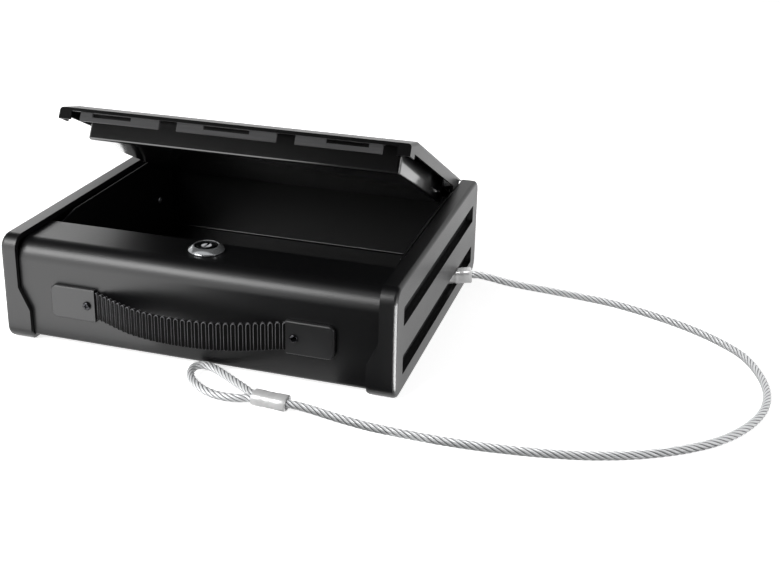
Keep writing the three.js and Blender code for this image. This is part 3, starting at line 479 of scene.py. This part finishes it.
# Body: one sheet of steel folded from the hem behind the lock, over the rounded front edge, down the
# front, under the floor and up the back, powder-coated satin black.
painted, shader, start, place = finish("painted_steel", Roughness=0.34, Specular_IOR_Level=0.35)
grain = place.noise(900, 3)
cloud = place.noise(14, 2)
start.fill(shader, {
    "Base Color": cloud.blend(colour(6, 6, 7), colour(10, 10, 11)),
    "Roughness": 0.3 + cloud * 0.08,
    "Normal": grain.bump(0.00012, 0.35),
})
sheet, body_width = 1.5, 260
deck_rear, deck_top, hem_bottom = -69.5, 74, 71
body_front, body_rear, body_bottom, wall_rise = -114.5, 114.5, 4.3, 61
hem_bend, front_bend, floor_bend = 0.9, 13.25, 2.25

# The tree rounds each corner of the fold by its own radius and gives the line the sheet's width.
folded_sheet, (line, width, thickness, steps) = new_tree(
    "folded_sheet", {"Width": "Float", "Thickness": "Float", "Steps": "Int"}
)
fold = line.add("GeometryNodeMeshToCurve", None, {"Mesh": line})
radius = line.add("GeometryNodeInputNamedAttribute", None, {"Name": "bend"})
fold = line.add(
    "GeometryNodeFilletCurve", {"mode": "POLY"}, {"Curve": fold, "Count": steps, "Radius": radius}
)
fold = line.add("GeometryNodeSetCurveNormal", {"mode": "FREE"}, {"Curve": fold, "Normal": (1, 0, 0)})
section = line.add("GeometryNodeCurvePrimitiveQuadrilateral", None, {"Width": width, "Height": thickness})
end_tree(fold.swept(section), painted)


def folded(name, corners, width):
    """A sheet of steel folded at these corners: each is Y, Z and the radius at the sheet's middle."""
    mesh = chain(name, [(0, y, z) for y, z, bend in corners])
    bends = mesh.attributes.new("bend", "FLOAT", "POINT")
    for spot, (y, z, bend) in zip(bends.data, corners):
        spot.value = bend
    made = grown(name, mesh, folded_sheet, Width=width, Thickness=sheet, Steps=16)
    form = bmesh.new()
    form.from_mesh(made)
    return form


def eased(piece, width, angle=40, segments=2):
    """Rounds off a piece's sharp edges, and keeps its flats flat."""
    bevel = piece.modifiers.new("edges", "BEVEL")
    bevel.width = width / 1000
    bevel.segments = segments
    bevel.limit_method = "ANGLE"
    bevel.angle_limit = math.radians(angle)
    flats = piece.modifiers.new("flats", "WEIGHTED_NORMAL")
    flats.keep_sharp = True
    return piece


half_sheet = sheet / 2
middle_top, middle_bottom = deck_top - half_sheet, body_bottom + half_sheet
middle_front, middle_rear = body_front + half_sheet, body_rear - half_sheet
fold_line = [
    (deck_rear - half_sheet, hem_bottom, 0),
    (deck_rear - half_sheet, middle_top, hem_bend),
    (middle_front, middle_top, front_bend),
    (middle_front, middle_bottom, floor_bend),
    (middle_rear, middle_bottom, floor_bend),
    (middle_rear, wall_rise, 0),
]
shell_form = folded("body", fold_line, body_width)
shell = fitted("body", meshed("body", shell_form), painted, "base", "painted_steel", "body_shell")
eased(shell, width=0.3, angle=60)


# End walls: cut from the same sheet and welded inside the body's ends. Each is notched at the front
# for the ear of the lid's corner, and reaches up round the hinge at the rear.
def arc(y, z, radius, start, end, steps):
    """Points of an arc, its angles in degrees, each as Y and Z."""
    turns = [math.radians(start + (end - start) * i / steps) for i in range(steps + 1)]
    return [(y + radius * math.cos(turned_by), z + radius * math.sin(turned_by)) for turned_by in turns]


# Pieces that seat on each other are drawn with a small gap between them.
seat_gap, wall_corner = 0.3, 1.5
hinge_y, hinge_z, eye_radius = 109.5, 69.5, 5.9
wall_top, wall_inner, wall_outer = 74.6, 125.5, 127
wall_front, wall_rear = body_front + sheet + seat_gap, body_rear - sheet - seat_gap
wall_bottom, deck_under = body_bottom + sheet + seat_gap, deck_top - sheet - seat_gap
notch_front, notch_rear, notch_floor = deck_rear - 1.8, -65.8, 63.2
slope_foot, slope_end = 70, -44
eye_start = 90 + math.degrees(math.acos((wall_top - hinge_z) / eye_radius))
eye_end = math.degrees(math.acos((wall_rear - hinge_y) / eye_radius))
wall_bend = front_bend - half_sheet - seat_gap
wall_outline = [
    (wall_front, wall_bottom + wall_corner),
    *arc(middle_front + front_bend, middle_top - front_bend, wall_bend, 180, 90, 16),
    (notch_front, deck_under), (notch_front, notch_floor), (notch_rear, notch_floor),
    (notch_rear, slope_foot), (slope_end, wall_top),
    *arc(hinge_y, hinge_z, eye_radius, eye_start, eye_end, 16),
    (wall_rear, wall_bottom + wall_corner), (wall_rear - wall_corner, wall_bottom),
    (wall_front + wall_corner, wall_bottom),
]
for name, side in (("left", -1), ("right", 1)):
    rings = [[(side * x, y, z) for y, z in wall_outline] for x in (wall_inner, wall_outer)]
    cut_sheet = meshed(f"wall_{name}", lofted(rings))
    wall = fitted(f"wall_{name}", cut_sheet, painted, "base", "painted_steel", f"end_wall_{name}")
    eased(wall, width=0.3, angle=50)


# End caps: black moulded plastic with a fine satin grain. Each wraps the end of the body with its feet,
# has two long grooves along its outer face, and is screwed on from the inside.
moulded, shader, start, place = finish("moulded_plastic", Roughness=0.4, Specular_IOR_Level=0.35)
grain = place.noise(2200, 2)
cloud = place.noise(20, 2)
skin = cloud.blend(colour(7, 7, 8), colour(11, 11, 12))

# The grooves are left rough by the mould, and painted darker than the face: painted shade in the recesses.
# All of a cap that lies further out than this box, in any of the three directions, is its satin outside.
box_middle, box_reach, blur = (0, 0.0075, 0.038), (0.1395, 0.108, 0.033), 0.0007
outside = 0.0
for part, middle, reach in zip(place.split(), box_middle, box_reach):
    off = part - middle
    off = off.math("ABSOLUTE", off).limited(reach - blur, reach + blur)
    outside = off.math("MAXIMUM", off, outside)
start.fill(shader, {
    # Inside the box the colour is painted darker: painted shade.
    "Base Color": outside.blend(colour(5, 5, 6), skin),
    "Roughness": 0.85 - outside * 0.53 + cloud * 0.08,
    "Normal": grain.bump(0.0001, 0.3),
})


def recast(node):
    """A CAD part's own form, with its loose triangles joined and its flats made whole."""
    form = bmesh.new()
    form.from_mesh(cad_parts[node].data)
    bmesh.ops.remove_doubles(form, verts=form.verts, dist=0.00001)
    bmesh.ops.dissolve_limit(form, angle_limit=math.radians(0.4), verts=form.verts, edges=form.edges)
    return form


def as_drawn(name, node, material, body, slot, **edges):
    """A piece with a CAD part's own form, its sharp edges rounded off."""
    piece = fitted(name, meshed(name, recast(node), Matrix()), material, body, slot, node)
    return eased(piece, **edges)


for side in ("left", "right"):
    as_drawn(f"cap_{side}", f"end_cap_{side}", moulded, "base", "moulded_plastic", width=0.35, angle=50)


# Screws of the end caps: zinc-plated pan heads with a cross recess, driven outwards through the end
# walls into bosses in the caps.
zinc, shader, start, place = finish("zinc_plate", Metallic=1.0, Roughness=0.35)
bloom = place.noise(260, 3)
start.fill(shader, {
    "Base Color": bloom.blend(colour(150, 152, 154), colour(196, 198, 200)),
    "Roughness": 0.26 + bloom * 0.22,
    "Normal": place.noise(1500, 2).bump(0.00003, 0.4),
})


def circle(radius, z, corners=40):
    """A ring round Z at one height."""
    turns = [2 * math.pi * i / corners for i in range(corners)]
    return [(radius * math.cos(turned_by), radius * math.sin(turned_by), z) for turned_by in turns]


def turned(profile, hollow=False, corners=40):
    """A shape turned about Z. Each point of its profile is a radius and a height."""
    return lofted([circle(radius, z, corners) for radius, z in profile], hollow)


def carved(name, form, tool):
    """A form with another cut out of it."""
    meshes = []
    for solid in (form, tool):
        bmesh.ops.recalc_face_normals(solid, faces=solid.faces)
        meshes.append(bpy.data.meshes.new(name))
        solid.to_mesh(meshes[-1])
        solid.free()
    block, cutter = [in_scene(name, mesh) for mesh in meshes]
    cut = block.modifiers.new("cut", "BOOLEAN")
    cut.object = cutter
    cut.solver = "EXACT"
    left = bmesh.new()
    left.from_mesh(settled(block))
    bpy.data.objects.remove(cutter)
    bpy.data.objects.remove(block)
    return left


def screw(head, head_height, shank, length):
    """A pan-head screw with a cross recess: its head above the origin and its thread below."""
    slopes = (0.12, 0.4, 0.8, 1.15, 1.4)
    crown = [(head * math.sin(a) ** 0.7, head_height * math.cos(a) ** 0.6) for a in slopes]
    thread, pitch, depth = [], 0.7, -0.6
    while depth > -length + 1.4:
        thread += [(shank, depth), (shank - 0.25, depth - pitch / 2)]
        depth -= pitch
    tip = [(shank - 0.3, 1.2 - length), (shank * 0.5, -length)]
    profile = [*crown, (head, 0.1), (head - 0.1, 0), (shank, 0), *thread, *tip]
    wide, thin = head * 0.6, head * 0.15
    cross = [
        (wide, -thin), (wide, thin), (thin, thin), (thin, wide), (-thin, wide), (-thin, thin),
        (-wide, thin), (-wide, -thin), (-thin, -thin), (-thin, -wide), (thin, -wide), (thin, -thin),
    ]
    levels = ((1, head_height + 0.4), (0.55, head_height * 0.35))
    recess = lofted([[(x * size, y * size, z) for x, y in cross] for size, z in levels])
    return carved("screw", turned(profile, corners=28), recess)


# The tree stands a copy of one screw at each point, its head the way that the point's "facing" goes.
screw_row, (line, pattern, material) = new_tree("screw_row", {"Screw": "Object", "Material": "Material"})
one = line.add("GeometryNodeObjectInfo", None, {"Object": pattern}, "Geometry")
facing = line.add("GeometryNodeInputNamedAttribute", {"data_type": "FLOAT_VECTOR"}, {"Name": "facing"})
stand = line.add("FunctionNodeAlignRotationToVector", {"axis": "Z"}, {"Vector": facing})
copies = line.add("GeometryNodeInstanceOnPoints", None, {"Points": line, "Instance": one, "Rotation": stand})
end_tree(copies, material)


def screws(name, form, places, material, body, slot, *nodes):
    """A row of screws at these places, each a point and the way that the head faces."""
    pattern = in_scene("pattern", meshed("pattern", form, Matrix()))
    points = bpy.data.meshes.new(name)
    points.from_pydata([point for point, facing in places], [], [])
    facings = points.attributes.new("facing", "FLOAT_VECTOR", "POINT")
    for spot, (point, facing) in zip(facings.data, places):
        spot.vector = facing
    made = grown(name, points, screw_row, Screw=pattern, Material=material)
    bpy.data.objects.remove(pattern)
    made.transform(bench)
    made.set_sharp_from_angle(angle=math.radians(35))
    return fitted(name, made, material, body, slot, *nodes)


cap_screw = screw(head=3, head_height=1.5, shank=1.7, length=10.5)
cap_screw_x, cap_screw_y, cap_screw_z = wall_inner - seat_gap, 88, 36.5
cap_places, cap_nodes = [], []
for side, name in ((-1, "left"), (1, "right")):
    for y, row in ((-cap_screw_y, "front"), (0, "middle"), (cap_screw_y, "rear")):
        cap_places.append(((side * cap_screw_x, y, cap_screw_z), (-side, 0, 0)))
        cap_nodes.append(f"cap_screw_{name}_{row}")
screws("cap_screws", cap_screw, cap_places, zinc, "base", "zinc_steel", *cap_nodes)


# Lid: folded steel sheet in the body's finish, with side flanges, a sloping front, and its rear edge
# rolled round the hinge. At rest it stands open by 27 degrees.
lid_form = recast("lid_panel")

# The long crease between the lid's flat and its sloping front is a wide soft one. The sheet's sharp
# edges are just broken.
creases = lid_form.edges.layers.float.new("bevel_weight_edge")
for edge in lid_form.edges:
    bend = math.degrees(edge.calc_face_angle(0))
    if bend > 40:
        edge[creases] = 0.25
    elif 10 < bend < 18 and edge.calc_length() > 0.2:
        edge[creases] = 1.0
lid = fitted("lid", meshed("lid", lid_form, Matrix()), painted, "lid", "painted_steel", "lid_panel")
eased(lid, width=1.4).modifiers["edges"].limit_method = "WEIGHT"


# Pan: a shallow tray of thin steel, pressed with soft edges and spot-welded under the lid. It stiffens
# the lid and closes the opening. Its enamel is glossier than the coat of the body.
pan_side, pan_front, pan_rear, pan_top, pan_bottom = 118, -44, 95, 75.7, 54.5
pan_sheet, pan_corner, outer_edge, inner_edge = 1.2, 2.4, 1.8, 0.8


def rounded(x0, x1, y0, y1, radius, z, steps=8):
    """A rectangle with rounded corners, at one height."""
    corners = ((x1, y0, -90, -1, 1), (x1, y1, 0, -1, -1), (x0, y1, 90, 1, -1), (x0, y0, 180, 1, 1))
    ring = []
    for x, y, start, dx, dy in corners:
        ring += arc(x + dx * radius, y + dy * radius, radius, start, start + 90, steps)
    return [(x, y, z) for x, y in ring]


def pan_ring(inset, z):
    """The pan's outline at one height, so far inside its outer wall."""
    corner = max(pan_corner - inset, 0.4)
    return rounded(-pan_side + inset, pan_side - inset, pan_front + inset, pan_rear - inset, corner, z)


def pressed(inset, edge):
    """Rings of a pressed edge, from the pan's flat up to its wall."""
    floor = pan_bottom + inset
    turns = [math.radians(15 * i) for i in range(7)]
    return [pan_ring(inset + edge * (1 - math.sin(a)), floor + edge * (1 - math.cos(a))) for a in turns]


# The pan is drawn under a shut lid, and swung open with it.
lid_open = 27
hinge = Vector((0, hinge_y, hinge_z))
swing = Matrix.Rotation(math.radians(-lid_open), 4, "X")
opened = bench @ Matrix.Translation(hinge) @ swing @ Matrix.Translation(-hinge)
outer = pressed(0, outer_edge)
inner = pressed(pan_sheet, inner_edge)
pan_form = lofted([*outer, pan_ring(0, pan_top), pan_ring(pan_sheet, pan_top), *inner[::-1]])
pan_paint = painted.copy()
pan_paint.name = "pan_enamel"
pan_coat = pan_paint.node_tree.nodes["Principled BSDF"].inputs
pan_coat["Coat Weight"].default_value = 1.0
pan_coat["Coat Roughness"].default_value = 0.1
fitted("pan", meshed("pan", pan_form, opened), pan_paint, "lid", "painted_steel", "lid_pan")


# Latch plates: three angles of bare grey steel welded under the lid's front. The lock bar's tongues
# pass through the slot in each.
plated, shader, start, place = finish("latch_steel", Metallic=0.4, Roughness=0.45)
drawn = place.add("ShaderNodeMapping", {"vector_type": "POINT"}, {"Vector": place, "Scale": (30, 900, 900)})
streaks = drawn.noise(1, 3)
start.fill(shader, {
    "Base Color": streaks.blend(colour(82, 82, 83), colour(100, 100, 101)),
    "Roughness": 0.38 + streaks * 0.2,
    "Normal": streaks.bump(0.00004, 0.5),
})
for name in ("left", "middle", "right"):
    as_drawn(f"latch_{name}", f"latch_plate_{name}", plated, "lid", "latch_steel", width=0.25)


# Hinge: a flat steel bracket welded inside each end of the lid's roll. It turns on a zinc-plated pin
# with a round head, which is pushed in through the end wall and held by the end cap.
for name in ("left", "right"):
    as_drawn(f"bracket_{name}", f"hinge_bracket_{name}", painted, "lid", "painted_steel", width=0.2)
pin_profile = [(2, 1.2), (3.4, 1.2), (4, 0.8), (4, 0), (2.5, 0), (2.5, -7.3), (2, -7.8)]
pin_x = wall_outer + seat_gap
pin_places = [((side * pin_x, hinge_y, hinge_z), (side, 0, 0)) for side in (-1, 1)]
pin_nodes = ("hinge_pin_left", "hinge_pin_right")
screws("hinge_pins", turned(pin_profile), pin_places, zinc, "base", "zinc_steel", *pin_nodes)


# Lock: a chromed cylinder lock. Its flanged housing stands through the deck and a nut holds it from
# below. The plug turns in it with the key, and carries a cam on a screw.
chromed, shader, start, place = finish("bright_chrome", Metallic=0.8, Roughness=0.2)
start.fill(shader, {
    "Base Color": place.noise(300).blend(colour(150, 151, 154), colour(166, 168, 170)),
    "Roughness": 0.1 + place.noise(500, 3) * 0.08,
})

# The plug's face is a dull dark plate, with a pale round disc in its middle: a painted highlight on the
# keyway.
lock_x, lock_y = -2, -85
lock_centre = bench @ Vector((lock_x, lock_y, 0))
darkened, shader, start, place = finish("dark_plug", Metallic=1.0, Roughness=0.3)
wear = place.noise(900, 3)
across, along, _ = place.split()
out_x, out_y = across - lock_centre.x, along - lock_centre.y
reach = (out_x * out_x + out_y * out_y) ** 0.5
# Inside this radius the face is painted pale: a painted highlight.
painted_highlight_disc = 1 - reach.limited(0.0033, 0.0039)
dull = wear.limited(0.5, 0.8).blend(colour(44, 45, 48), colour(98, 99, 102))
start.fill(shader, {
    "Base Color": painted_highlight_disc.blend(dull, colour(200, 201, 204)),
    "Metallic": 1 - painted_highlight_disc * 0.7,
    "Roughness": 0.22 + wear * 0.16,
    "Normal": wear.bump(0.00003, 0.4),
})
housing_profile = [
    (8.3, 54), (9.5, 54), (9.5, 74.3), (12.3, 74.3), (12.5, 74.5), (12.5, 75.15), (12.35, 75.4),
    (9.05, 77.85), (8.75, 78), (8.45, 78), (8.3, 77.85),
]
at_lock = bench @ Matrix.Translation((lock_x, lock_y, 0))
housing = meshed("lock_body", turned(housing_profile, hollow=True, corners=96), at_lock, sharp=30)
fitted("lock_body", housing, chromed, "base", "lock_metal", "lock_housing")

plug_profile = [
    (1.9, 61), (1.9, 54), (8, 54), (8, 77.3), (7.7, 77.6), (6.6, 77.6), (6.4, 77.4), (6.2, 77.6), (1.9, 77.6),
]
slot_x, slot_y, slot_floor, slot_top = 1, 4.5, 68.6, 79
slot = [(-slot_x, -slot_y), (slot_x, -slot_y), (slot_x, slot_y), (-slot_x, slot_y)]
keyway = lofted([[(x, y, z) for x, y in slot] for z in (slot_floor, slot_top)])
plug = carved("plug", turned(plug_profile, corners=96), keyway)
fitted("plug", meshed("plug", plug, at_lock, sharp=30), darkened, "lock_core", "lock_metal", "lock_plug")


def nut(across, bore, thickness):
    """A hexagon nut from the origin upwards, its upper corners turned off."""
    corners = 48
    turns = [2 * math.pi * i / corners for i in range(corners)]
    flats = [across / 2 / math.cos(a % (math.pi / 3) - math.pi / 6) for a in turns]
    trimmed = [min(reach, across / 2 * 1.03) for reach in flats]
    levels = ((flats, 0), (flats, thickness * 0.75), (trimmed, thickness))
    rings = [[(r * math.cos(a), r * math.sin(a), z) for r, a in zip(reach, turns)] for reach, z in levels]
    return lofted([*rings, circle(bore, thickness, corners), circle(bore, 0, corners)], True)


under_deck = at_lock @ Matrix.Translation((0, 0, deck_under)) @ Matrix.Rotation(math.pi, 4, "X")
lock_nut = meshed("housing_nut", nut(across=26, bore=9.8, thickness=2.1), under_deck)
fitted("housing_nut", lock_nut, zinc, "base", "zinc_steel", "lock_nut")

as_drawn("cam", "lock_cam", zinc, "lock_core", "zinc_steel", width=0.2)
cam_under = 51.9
cam_place = [((lock_x, lock_y, cam_under), (0, 0, -1))]
cam_hold = screw(head=2.9, head_height=1.2, shank=1.6, length=8.2)
screws("cam_hold", cam_hold, cam_place, zinc, "lock_core", "zinc_steel", "cam_screw")


# Lock bar: a zinc-plated plate under the deck that the cam slides back, so that its three tongues
# enter the latch plates. Two headed studs hold it up and guide it.
as_drawn("bar", "lock_bar", zinc, "lock_bar", "zinc_steel", width=0.25)
stud_profile = [(3.6, 1.8), (4.5, 1.3), (4.5, 0), (2, 0), (2, -4.7), (1.6, -5)]
bar_under, stud_reach = 67.2, 58
stud_places = [((lock_x + x, lock_y, bar_under), (0, 0, -1)) for x in (-stud_reach, stud_reach)]
stud_nodes = ("bar_stud_left", "bar_stud_right")
screws("bar_studs", turned(stud_profile), stud_places, zinc, "base", "zinc_steel", *stud_nodes)


# Rope post: a turned steel post with a head, zinc-plated and welded to the floor inside the case. The
# rope's inner end goes round it.
post_profile = [(3.4, 6.1), (4, 6.7), (4, 30), (6.6, 30), (7, 30.4), (7, 31.4), (6.2, 32.1)]
at_post = bench @ Matrix.Translation((post_place.x, post_place.y, 0))
post_mesh = meshed("post", turned(post_profile), at_post)
fitted("post", post_mesh, zinc, "base", "zinc_steel", "cable_post")


# Carrying strap: a black woven band with thick ribs across it, each edged with a lighter corded yarn
# that turns over at the strap's edges. It bows out from the front and is held under a cover at each end.
woven, shader, start, place = finish("ribbed_webbing", Roughness=0.8, Specular_IOR_Level=0.12)
edging = start.add("ShaderNodeAttribute", {"attribute_name": "edging"}, output="Fac")
_, _, height = place.split()
stitch_pitch = 0.0009
stitches = height.math("SINE", height * (2 * math.pi / stitch_pitch)) * 0.5 + 0.5
fuzz = place.noise(2400, 2)
cord = edging.limited(0.45, 0.85)
# The pale yarn is painted darker towards the strap's lower edge: painted shade.
painted_lower_shade = height.limited(0.024, 0.034) * 0.75 + 0.25
lit = cord * (stitches * 0.6 + 0.4) * (fuzz * 0.8 + 0.5) * painted_lower_shade
start.fill(shader, {
    "Base Color": lit.blend(colour(3, 3, 3), colour(98, 98, 100)),
    "Roughness": 0.9 - cord * 0.25,
    "Normal": (stitches * 0.6 + fuzz * 0.7).bump(0.0002, 0.7),
})
strap_rise, strap_line, front_centre = 35.3, -115.8, -2
strap_span, strap_under = 69.3, 12
bow = [(0, 20), (20, 18.6), (38, 14.4), (55, 7.2), (65, 2.6)]
half_bow = [(x, body_front - out) for x, out in bow]
half_bow += [(strap_span, strap_line), (strap_span + strap_under, strap_line)]
bow_points = [(-x, y) for x, y in half_bow[:0:-1]] + half_bow
strap_path = through([(front_centre + x, y, strap_rise) for x, y in bow_points], 2)


def stadium(half_width, half_height, inset, y):
    """An upright outline with round ends, at one depth."""
    radius = half_width - inset
    straight = half_height - half_width
    top = [(x, z + straight) for x, z in arc(0, 0, radius, 0, 180, 10)]
    low = [(x, z - straight) for x, z in arc(0, 0, radius, 180, 360, 10)]
    return [(x, y, z) for x, z in top + low]


# One rib, from its back to its front: the corded edge stands proud of a hollow and a low crown.
levels = [(1.3, -0.85, 0), (0.85, -0.7, 0.1), (0.42, -1.25, 1), (0.05, -0.95, 1), (0, 0, 0.4)]
levels += [(inset, -y, mark) for inset, y, mark in levels[3::-1]]
rib_half_width, rib_half_height = 1.7, 10
rib_rings = [stadium(rib_half_width, rib_half_height, inset, y) for inset, y, mark in levels]
marks = [level[2] for level, ring in zip(levels, rib_rings) for corner in ring]
rib_mesh = meshed("rib", lofted(rib_rings), Matrix(), sharp=80)
edgings = rib_mesh.attributes.new("edging", "FLOAT", "POINT")
edgings.data.foreach_set("value", marks)
rib = in_scene("rib", rib_mesh)

# The tree stands ribs side by side along the bow, and runs a flat band through them to both ends.
ribbed_band, (line, pattern, ribs, tail, height, thickness) = new_tree(
    "ribbed_band", {"Rib": "Object", "Ribs": "Int", "Tail": "Float", "Height": "Float", "Thickness": "Float"}
)
path = line.add("GeometryNodeMeshToCurve", None, {"Mesh": line})
path = line.add("GeometryNodeSetCurveNormal", {"mode": "Z_UP"}, {"Curve": path})
whole = line.add("GeometryNodeCurveLength", None, {"Curve": path})
ends = {"Curve": path, "Start_001": tail, "End_001": whole - tail}
free = line.add("GeometryNodeTrimCurve", {"mode": "LENGTH"}, ends)
free = line.add("GeometryNodeResampleCurve", None, {"Curve": free, "Count": ribs})
tangent = line.add("GeometryNodeInputTangent")
stand = line.add("FunctionNodeAlignRotationToVector", {"axis": "X", "pivot_axis": "Z"}, {"Vector": tangent})
one = line.add("GeometryNodeObjectInfo", None, {"Object": pattern}, "Geometry")
row = line.add("GeometryNodeInstanceOnPoints", None, {"Points": free, "Instance": one, "Rotation": stand})
section = line.add("GeometryNodeCurvePrimitiveQuadrilateral", None, {"Width": thickness, "Height": height})
band = path.swept(section)
end_tree(line.add("GeometryNodeJoinGeometry", None, {"Geometry": [row, band]}), woven)

strap_mesh = grown(
    "strap", chain("strap", strap_path), ribbed_band, Rib=rib, Ribs=31, Tail=13.0, Height=18.6, Thickness=1.5
)
bpy.data.objects.remove(rib)
strap_mesh.transform(bench)
strap_mesh.set_sharp_from_angle(angle=math.radians(70))
fitted("strap", strap_mesh, woven, "base", "webbing", "handle_strap")


# Strap covers: moulded plates with rounded outer corners, each held by one black screw that goes
# through the strap and the front into a nut.
cover_plastic, shader, start, place = finish("cover_plastic", Roughness=0.38, Specular_IOR_Level=0.4)
grain = place.noise(2600, 2)
start.fill(shader, {
    "Base Color": place.noise(30).blend(colour(17, 17, 18), colour(22, 22, 23)),
    "Roughness": 0.32 + grain * 0.12,
    "Normal": grain.bump(0.00012, 0.35),
})
for side in ("left", "right"):
    node = f"handle_plate_{side}"
    as_drawn(f"cover_{side}", node, cover_plastic, "base", "moulded_plastic", width=0.4, segments=3)

blackened, shader, start, place = finish("black_oxide", Metallic=1.0, Roughness=0.2)
oil = place.noise(1800, 2)
start.fill(shader, {
    "Base Color": oil.blend(colour(32, 32, 34), colour(52, 52, 54)),
    "Roughness": 0.14 + oil * 0.12,
})
cover_thickness, cover_reach = 3.4, 75.1
cover_face, front_inside = body_front - cover_thickness - seat_gap, body_front + sheet + seat_gap
cover_centres = (front_centre - cover_reach, front_centre + cover_reach)
screw_places = [((x, cover_face, strap_rise), (0, -1, 0)) for x in cover_centres]
screw_nodes = ("handle_screw_left", "handle_screw_right")
cover_screw = screw(head=3, head_height=1.5, shank=2, length=9.5)
screws("cover_screws", cover_screw, screw_places, blackened, "base", "black_screw", *screw_nodes)
nut_places = [((x, front_inside, strap_rise), (0, 1, 0)) for x in cover_centres]
nut_nodes = ("handle_nut_left", "handle_nut_right")
cover_nut = nut(across=7, bore=2.3, thickness=3)
screws("cover_nuts", cover_nut, nut_places, zinc, "base", "zinc_steel", *nut_nodes)


# Floor: a pale studio floor that runs out past the view. It glows a little for the camera and in
# reflections, so that it shows white, and still takes the safe's shadow.
def seen_from(start):
    """1 for the camera, in reflections and through glass, and 0 for the light that falls on things."""
    path = start.add("ShaderNodeLightPath", output="Is Camera Ray")
    seen = path.math("MAXIMUM", path, path.also("Is Glossy Ray"))
    return path.math("MAXIMUM", seen, path.also("Is Transmission Ray"))


white = (1, 1, 1, 1)
pale, shader, start, _ = finish(
    "pale_floor", Base_Color=colour(228, 228, 228), Roughness=0.9, Specular_IOR_Level=0.0
)
glow = start.add("ShaderNodeEmission", None, {"Color": white, "Strength": seen_from(start) * 0.78})
sum_of = start.add("ShaderNodeAddShader", None, {0: Wire(start.tree, shader.outputs[0]), 1: glow})
start.fill(start.tree.nodes["Material Output"], {"Surface": sum_of})
floor_mesh = bpy.data.meshes.new("floor")
floor_mesh.from_pydata([(-3, -2.5, 0), (3, -2.5, 0), (3, 1.5, 0), (-3, 1.5, 0)], [], [(0, 1, 2, 3)])
floor_mesh.materials.append(pale)
floor = in_scene("floor", floor_mesh)


# Studio: a white room round the set and five soft lamps: a large one over the left front, a weak one
# behind the left and one to the right, and two more that are each kept to a piece or two.
world = bpy.data.worlds.new("studio")
scene.world = world
world.use_nodes = True
room = Wire(world.node_tree)
sky = 0.35 + seen_from(room) * 0.65
room.fill(world.node_tree.nodes["Background"], {"Color": white, "Strength": sky})
scene.view_settings.view_transform = "Standard"


def lamp(name, place, target, width, height, power):
    """A soft rectangular lamp that faces a point."""
    light = bpy.data.lights.new(name, "AREA")
    light.shape = "RECTANGLE"
    light.size = width
    light.size_y = height
    light.energy = power
    stand = in_scene(name, light)
    stand.matrix_world = from_to(Vector(target), Vector(place))
    stand.matrix_world.translation = place
    return stand


def lights_only(light, chosen):
    """Keeps a lamp, or a board that shines, to some pieces."""
    group = bpy.data.collections.new(f"lit_by_{light.name}")
    for thing in chosen:
        group.objects.link(thing)
    light.light_linking.receiver_collection = group


strip = lamp("front_strip", (-0.75, -1.1, 0.98), (-0.05, -0.1, 0.05), 1.0, 0.7, 36)
lamp("back_left", (-0.95, 0.85, 0.5), (-0.1, 0, 0.07), 0.5, 0.3, 1.4)
lamp("right", (1.25, -0.4, 0.25), (0.14, -0.1, 0.04), 0.15, 0.45, 3)
above = lamp("above_rope", (0.1, 0.05, 1.3), (0.2, -0.05, 0), 0.5, 0.5, 20)
lights_only(above, [tether, gland])
beside = lamp("beside_pan", (0.4, 0.72, 0.12), (0.12, 0, 0.11), 0.3, 0.25, 6)
lights_only(beside, [scene.objects["pan"]])

# The lid's front would mirror the front lamp, and the rope would be white on white in its light.
shaded = ("lid", "pan", "latch_left", "latch_middle", "latch_right", "tether_rope")
lights_only(strip, [thing for thing in scene.objects if thing.type == "MESH" and thing.name not in shaded])


# Cards: white and black boards round the set that show in reflections only. They draw the long bright
# and dark bands on the safe's fronts, and the bright line down its right front corner.
def card(name, light, corners):
    """A board with these corners that shines by so much, where 1 shows as white."""
    board, *_ = finish(
        name, Base_Color=(0, 0, 0, 1), Roughness=1.0, Specular_IOR_Level=0.0,
        Emission_Color=white, Emission_Strength=light,
    )
    mesh = bpy.data.meshes.new(name)
    mesh.from_pydata(corners, [], [tuple(range(len(corners)))])
    mesh.materials.append(board)
    hung = in_scene(name, mesh)
    hung.visible_camera = False
    hung.visible_diffuse = False
    hung.visible_shadow = False
    return hung


def lying(points, height=0.0002):
    """Corners of a board that lies flat, here just above the floor."""
    return [(x, y, height) for x, y in points]


card("roof", 0, lying([(-2.5, -0.3), (2.5, -0.3), (2.5, 2), (-2.5, 2)], 1.5))
card("front_curtain", 0, [(-2.5, -1.7, 0.5), (2.5, -1.7, 0.5), (2.5, -1.7, 3), (-2.5, -1.7, 3)])
card("dark_board", 0, [(-0.2, -0.95, 0), (1.5, -0.95, 0), (1.5, -0.95, 0.5), (-0.2, -0.95, 0.5)])
card("white_board", 3.6, [(-1.4, -0.95, 0), (-0.2, -0.95, 0), (-0.2, -0.95, 0.45), (-1.4, -0.95, 0.45)])
card("white_sheet", 4.3, lying([(-1.4, -0.95), (-0.2, -0.95), (-0.04, -0.125), (-1.4, -0.125)]))
dark_outline = [(-0.035, -0.145), (-0.2, -0.95), (1.2, -0.95), (0.55, -0.42), (0.165, -0.33), (0.145, -0.112)]
card("dark_sheet", 0, lying([*dark_outline, (0.1, -0.112), (0.09, -0.145)]))
edge_outline = [(0.155, -0.106), (0.2, -0.21), (0.33, -0.28), (0.37, -0.16), (0.33, -0.06), (0.155, -0.1)]
edge_sheet = card("edge_sheet", 30, lying(edge_outline))
lights_only(edge_sheet, [scene.objects["cap_right"]])
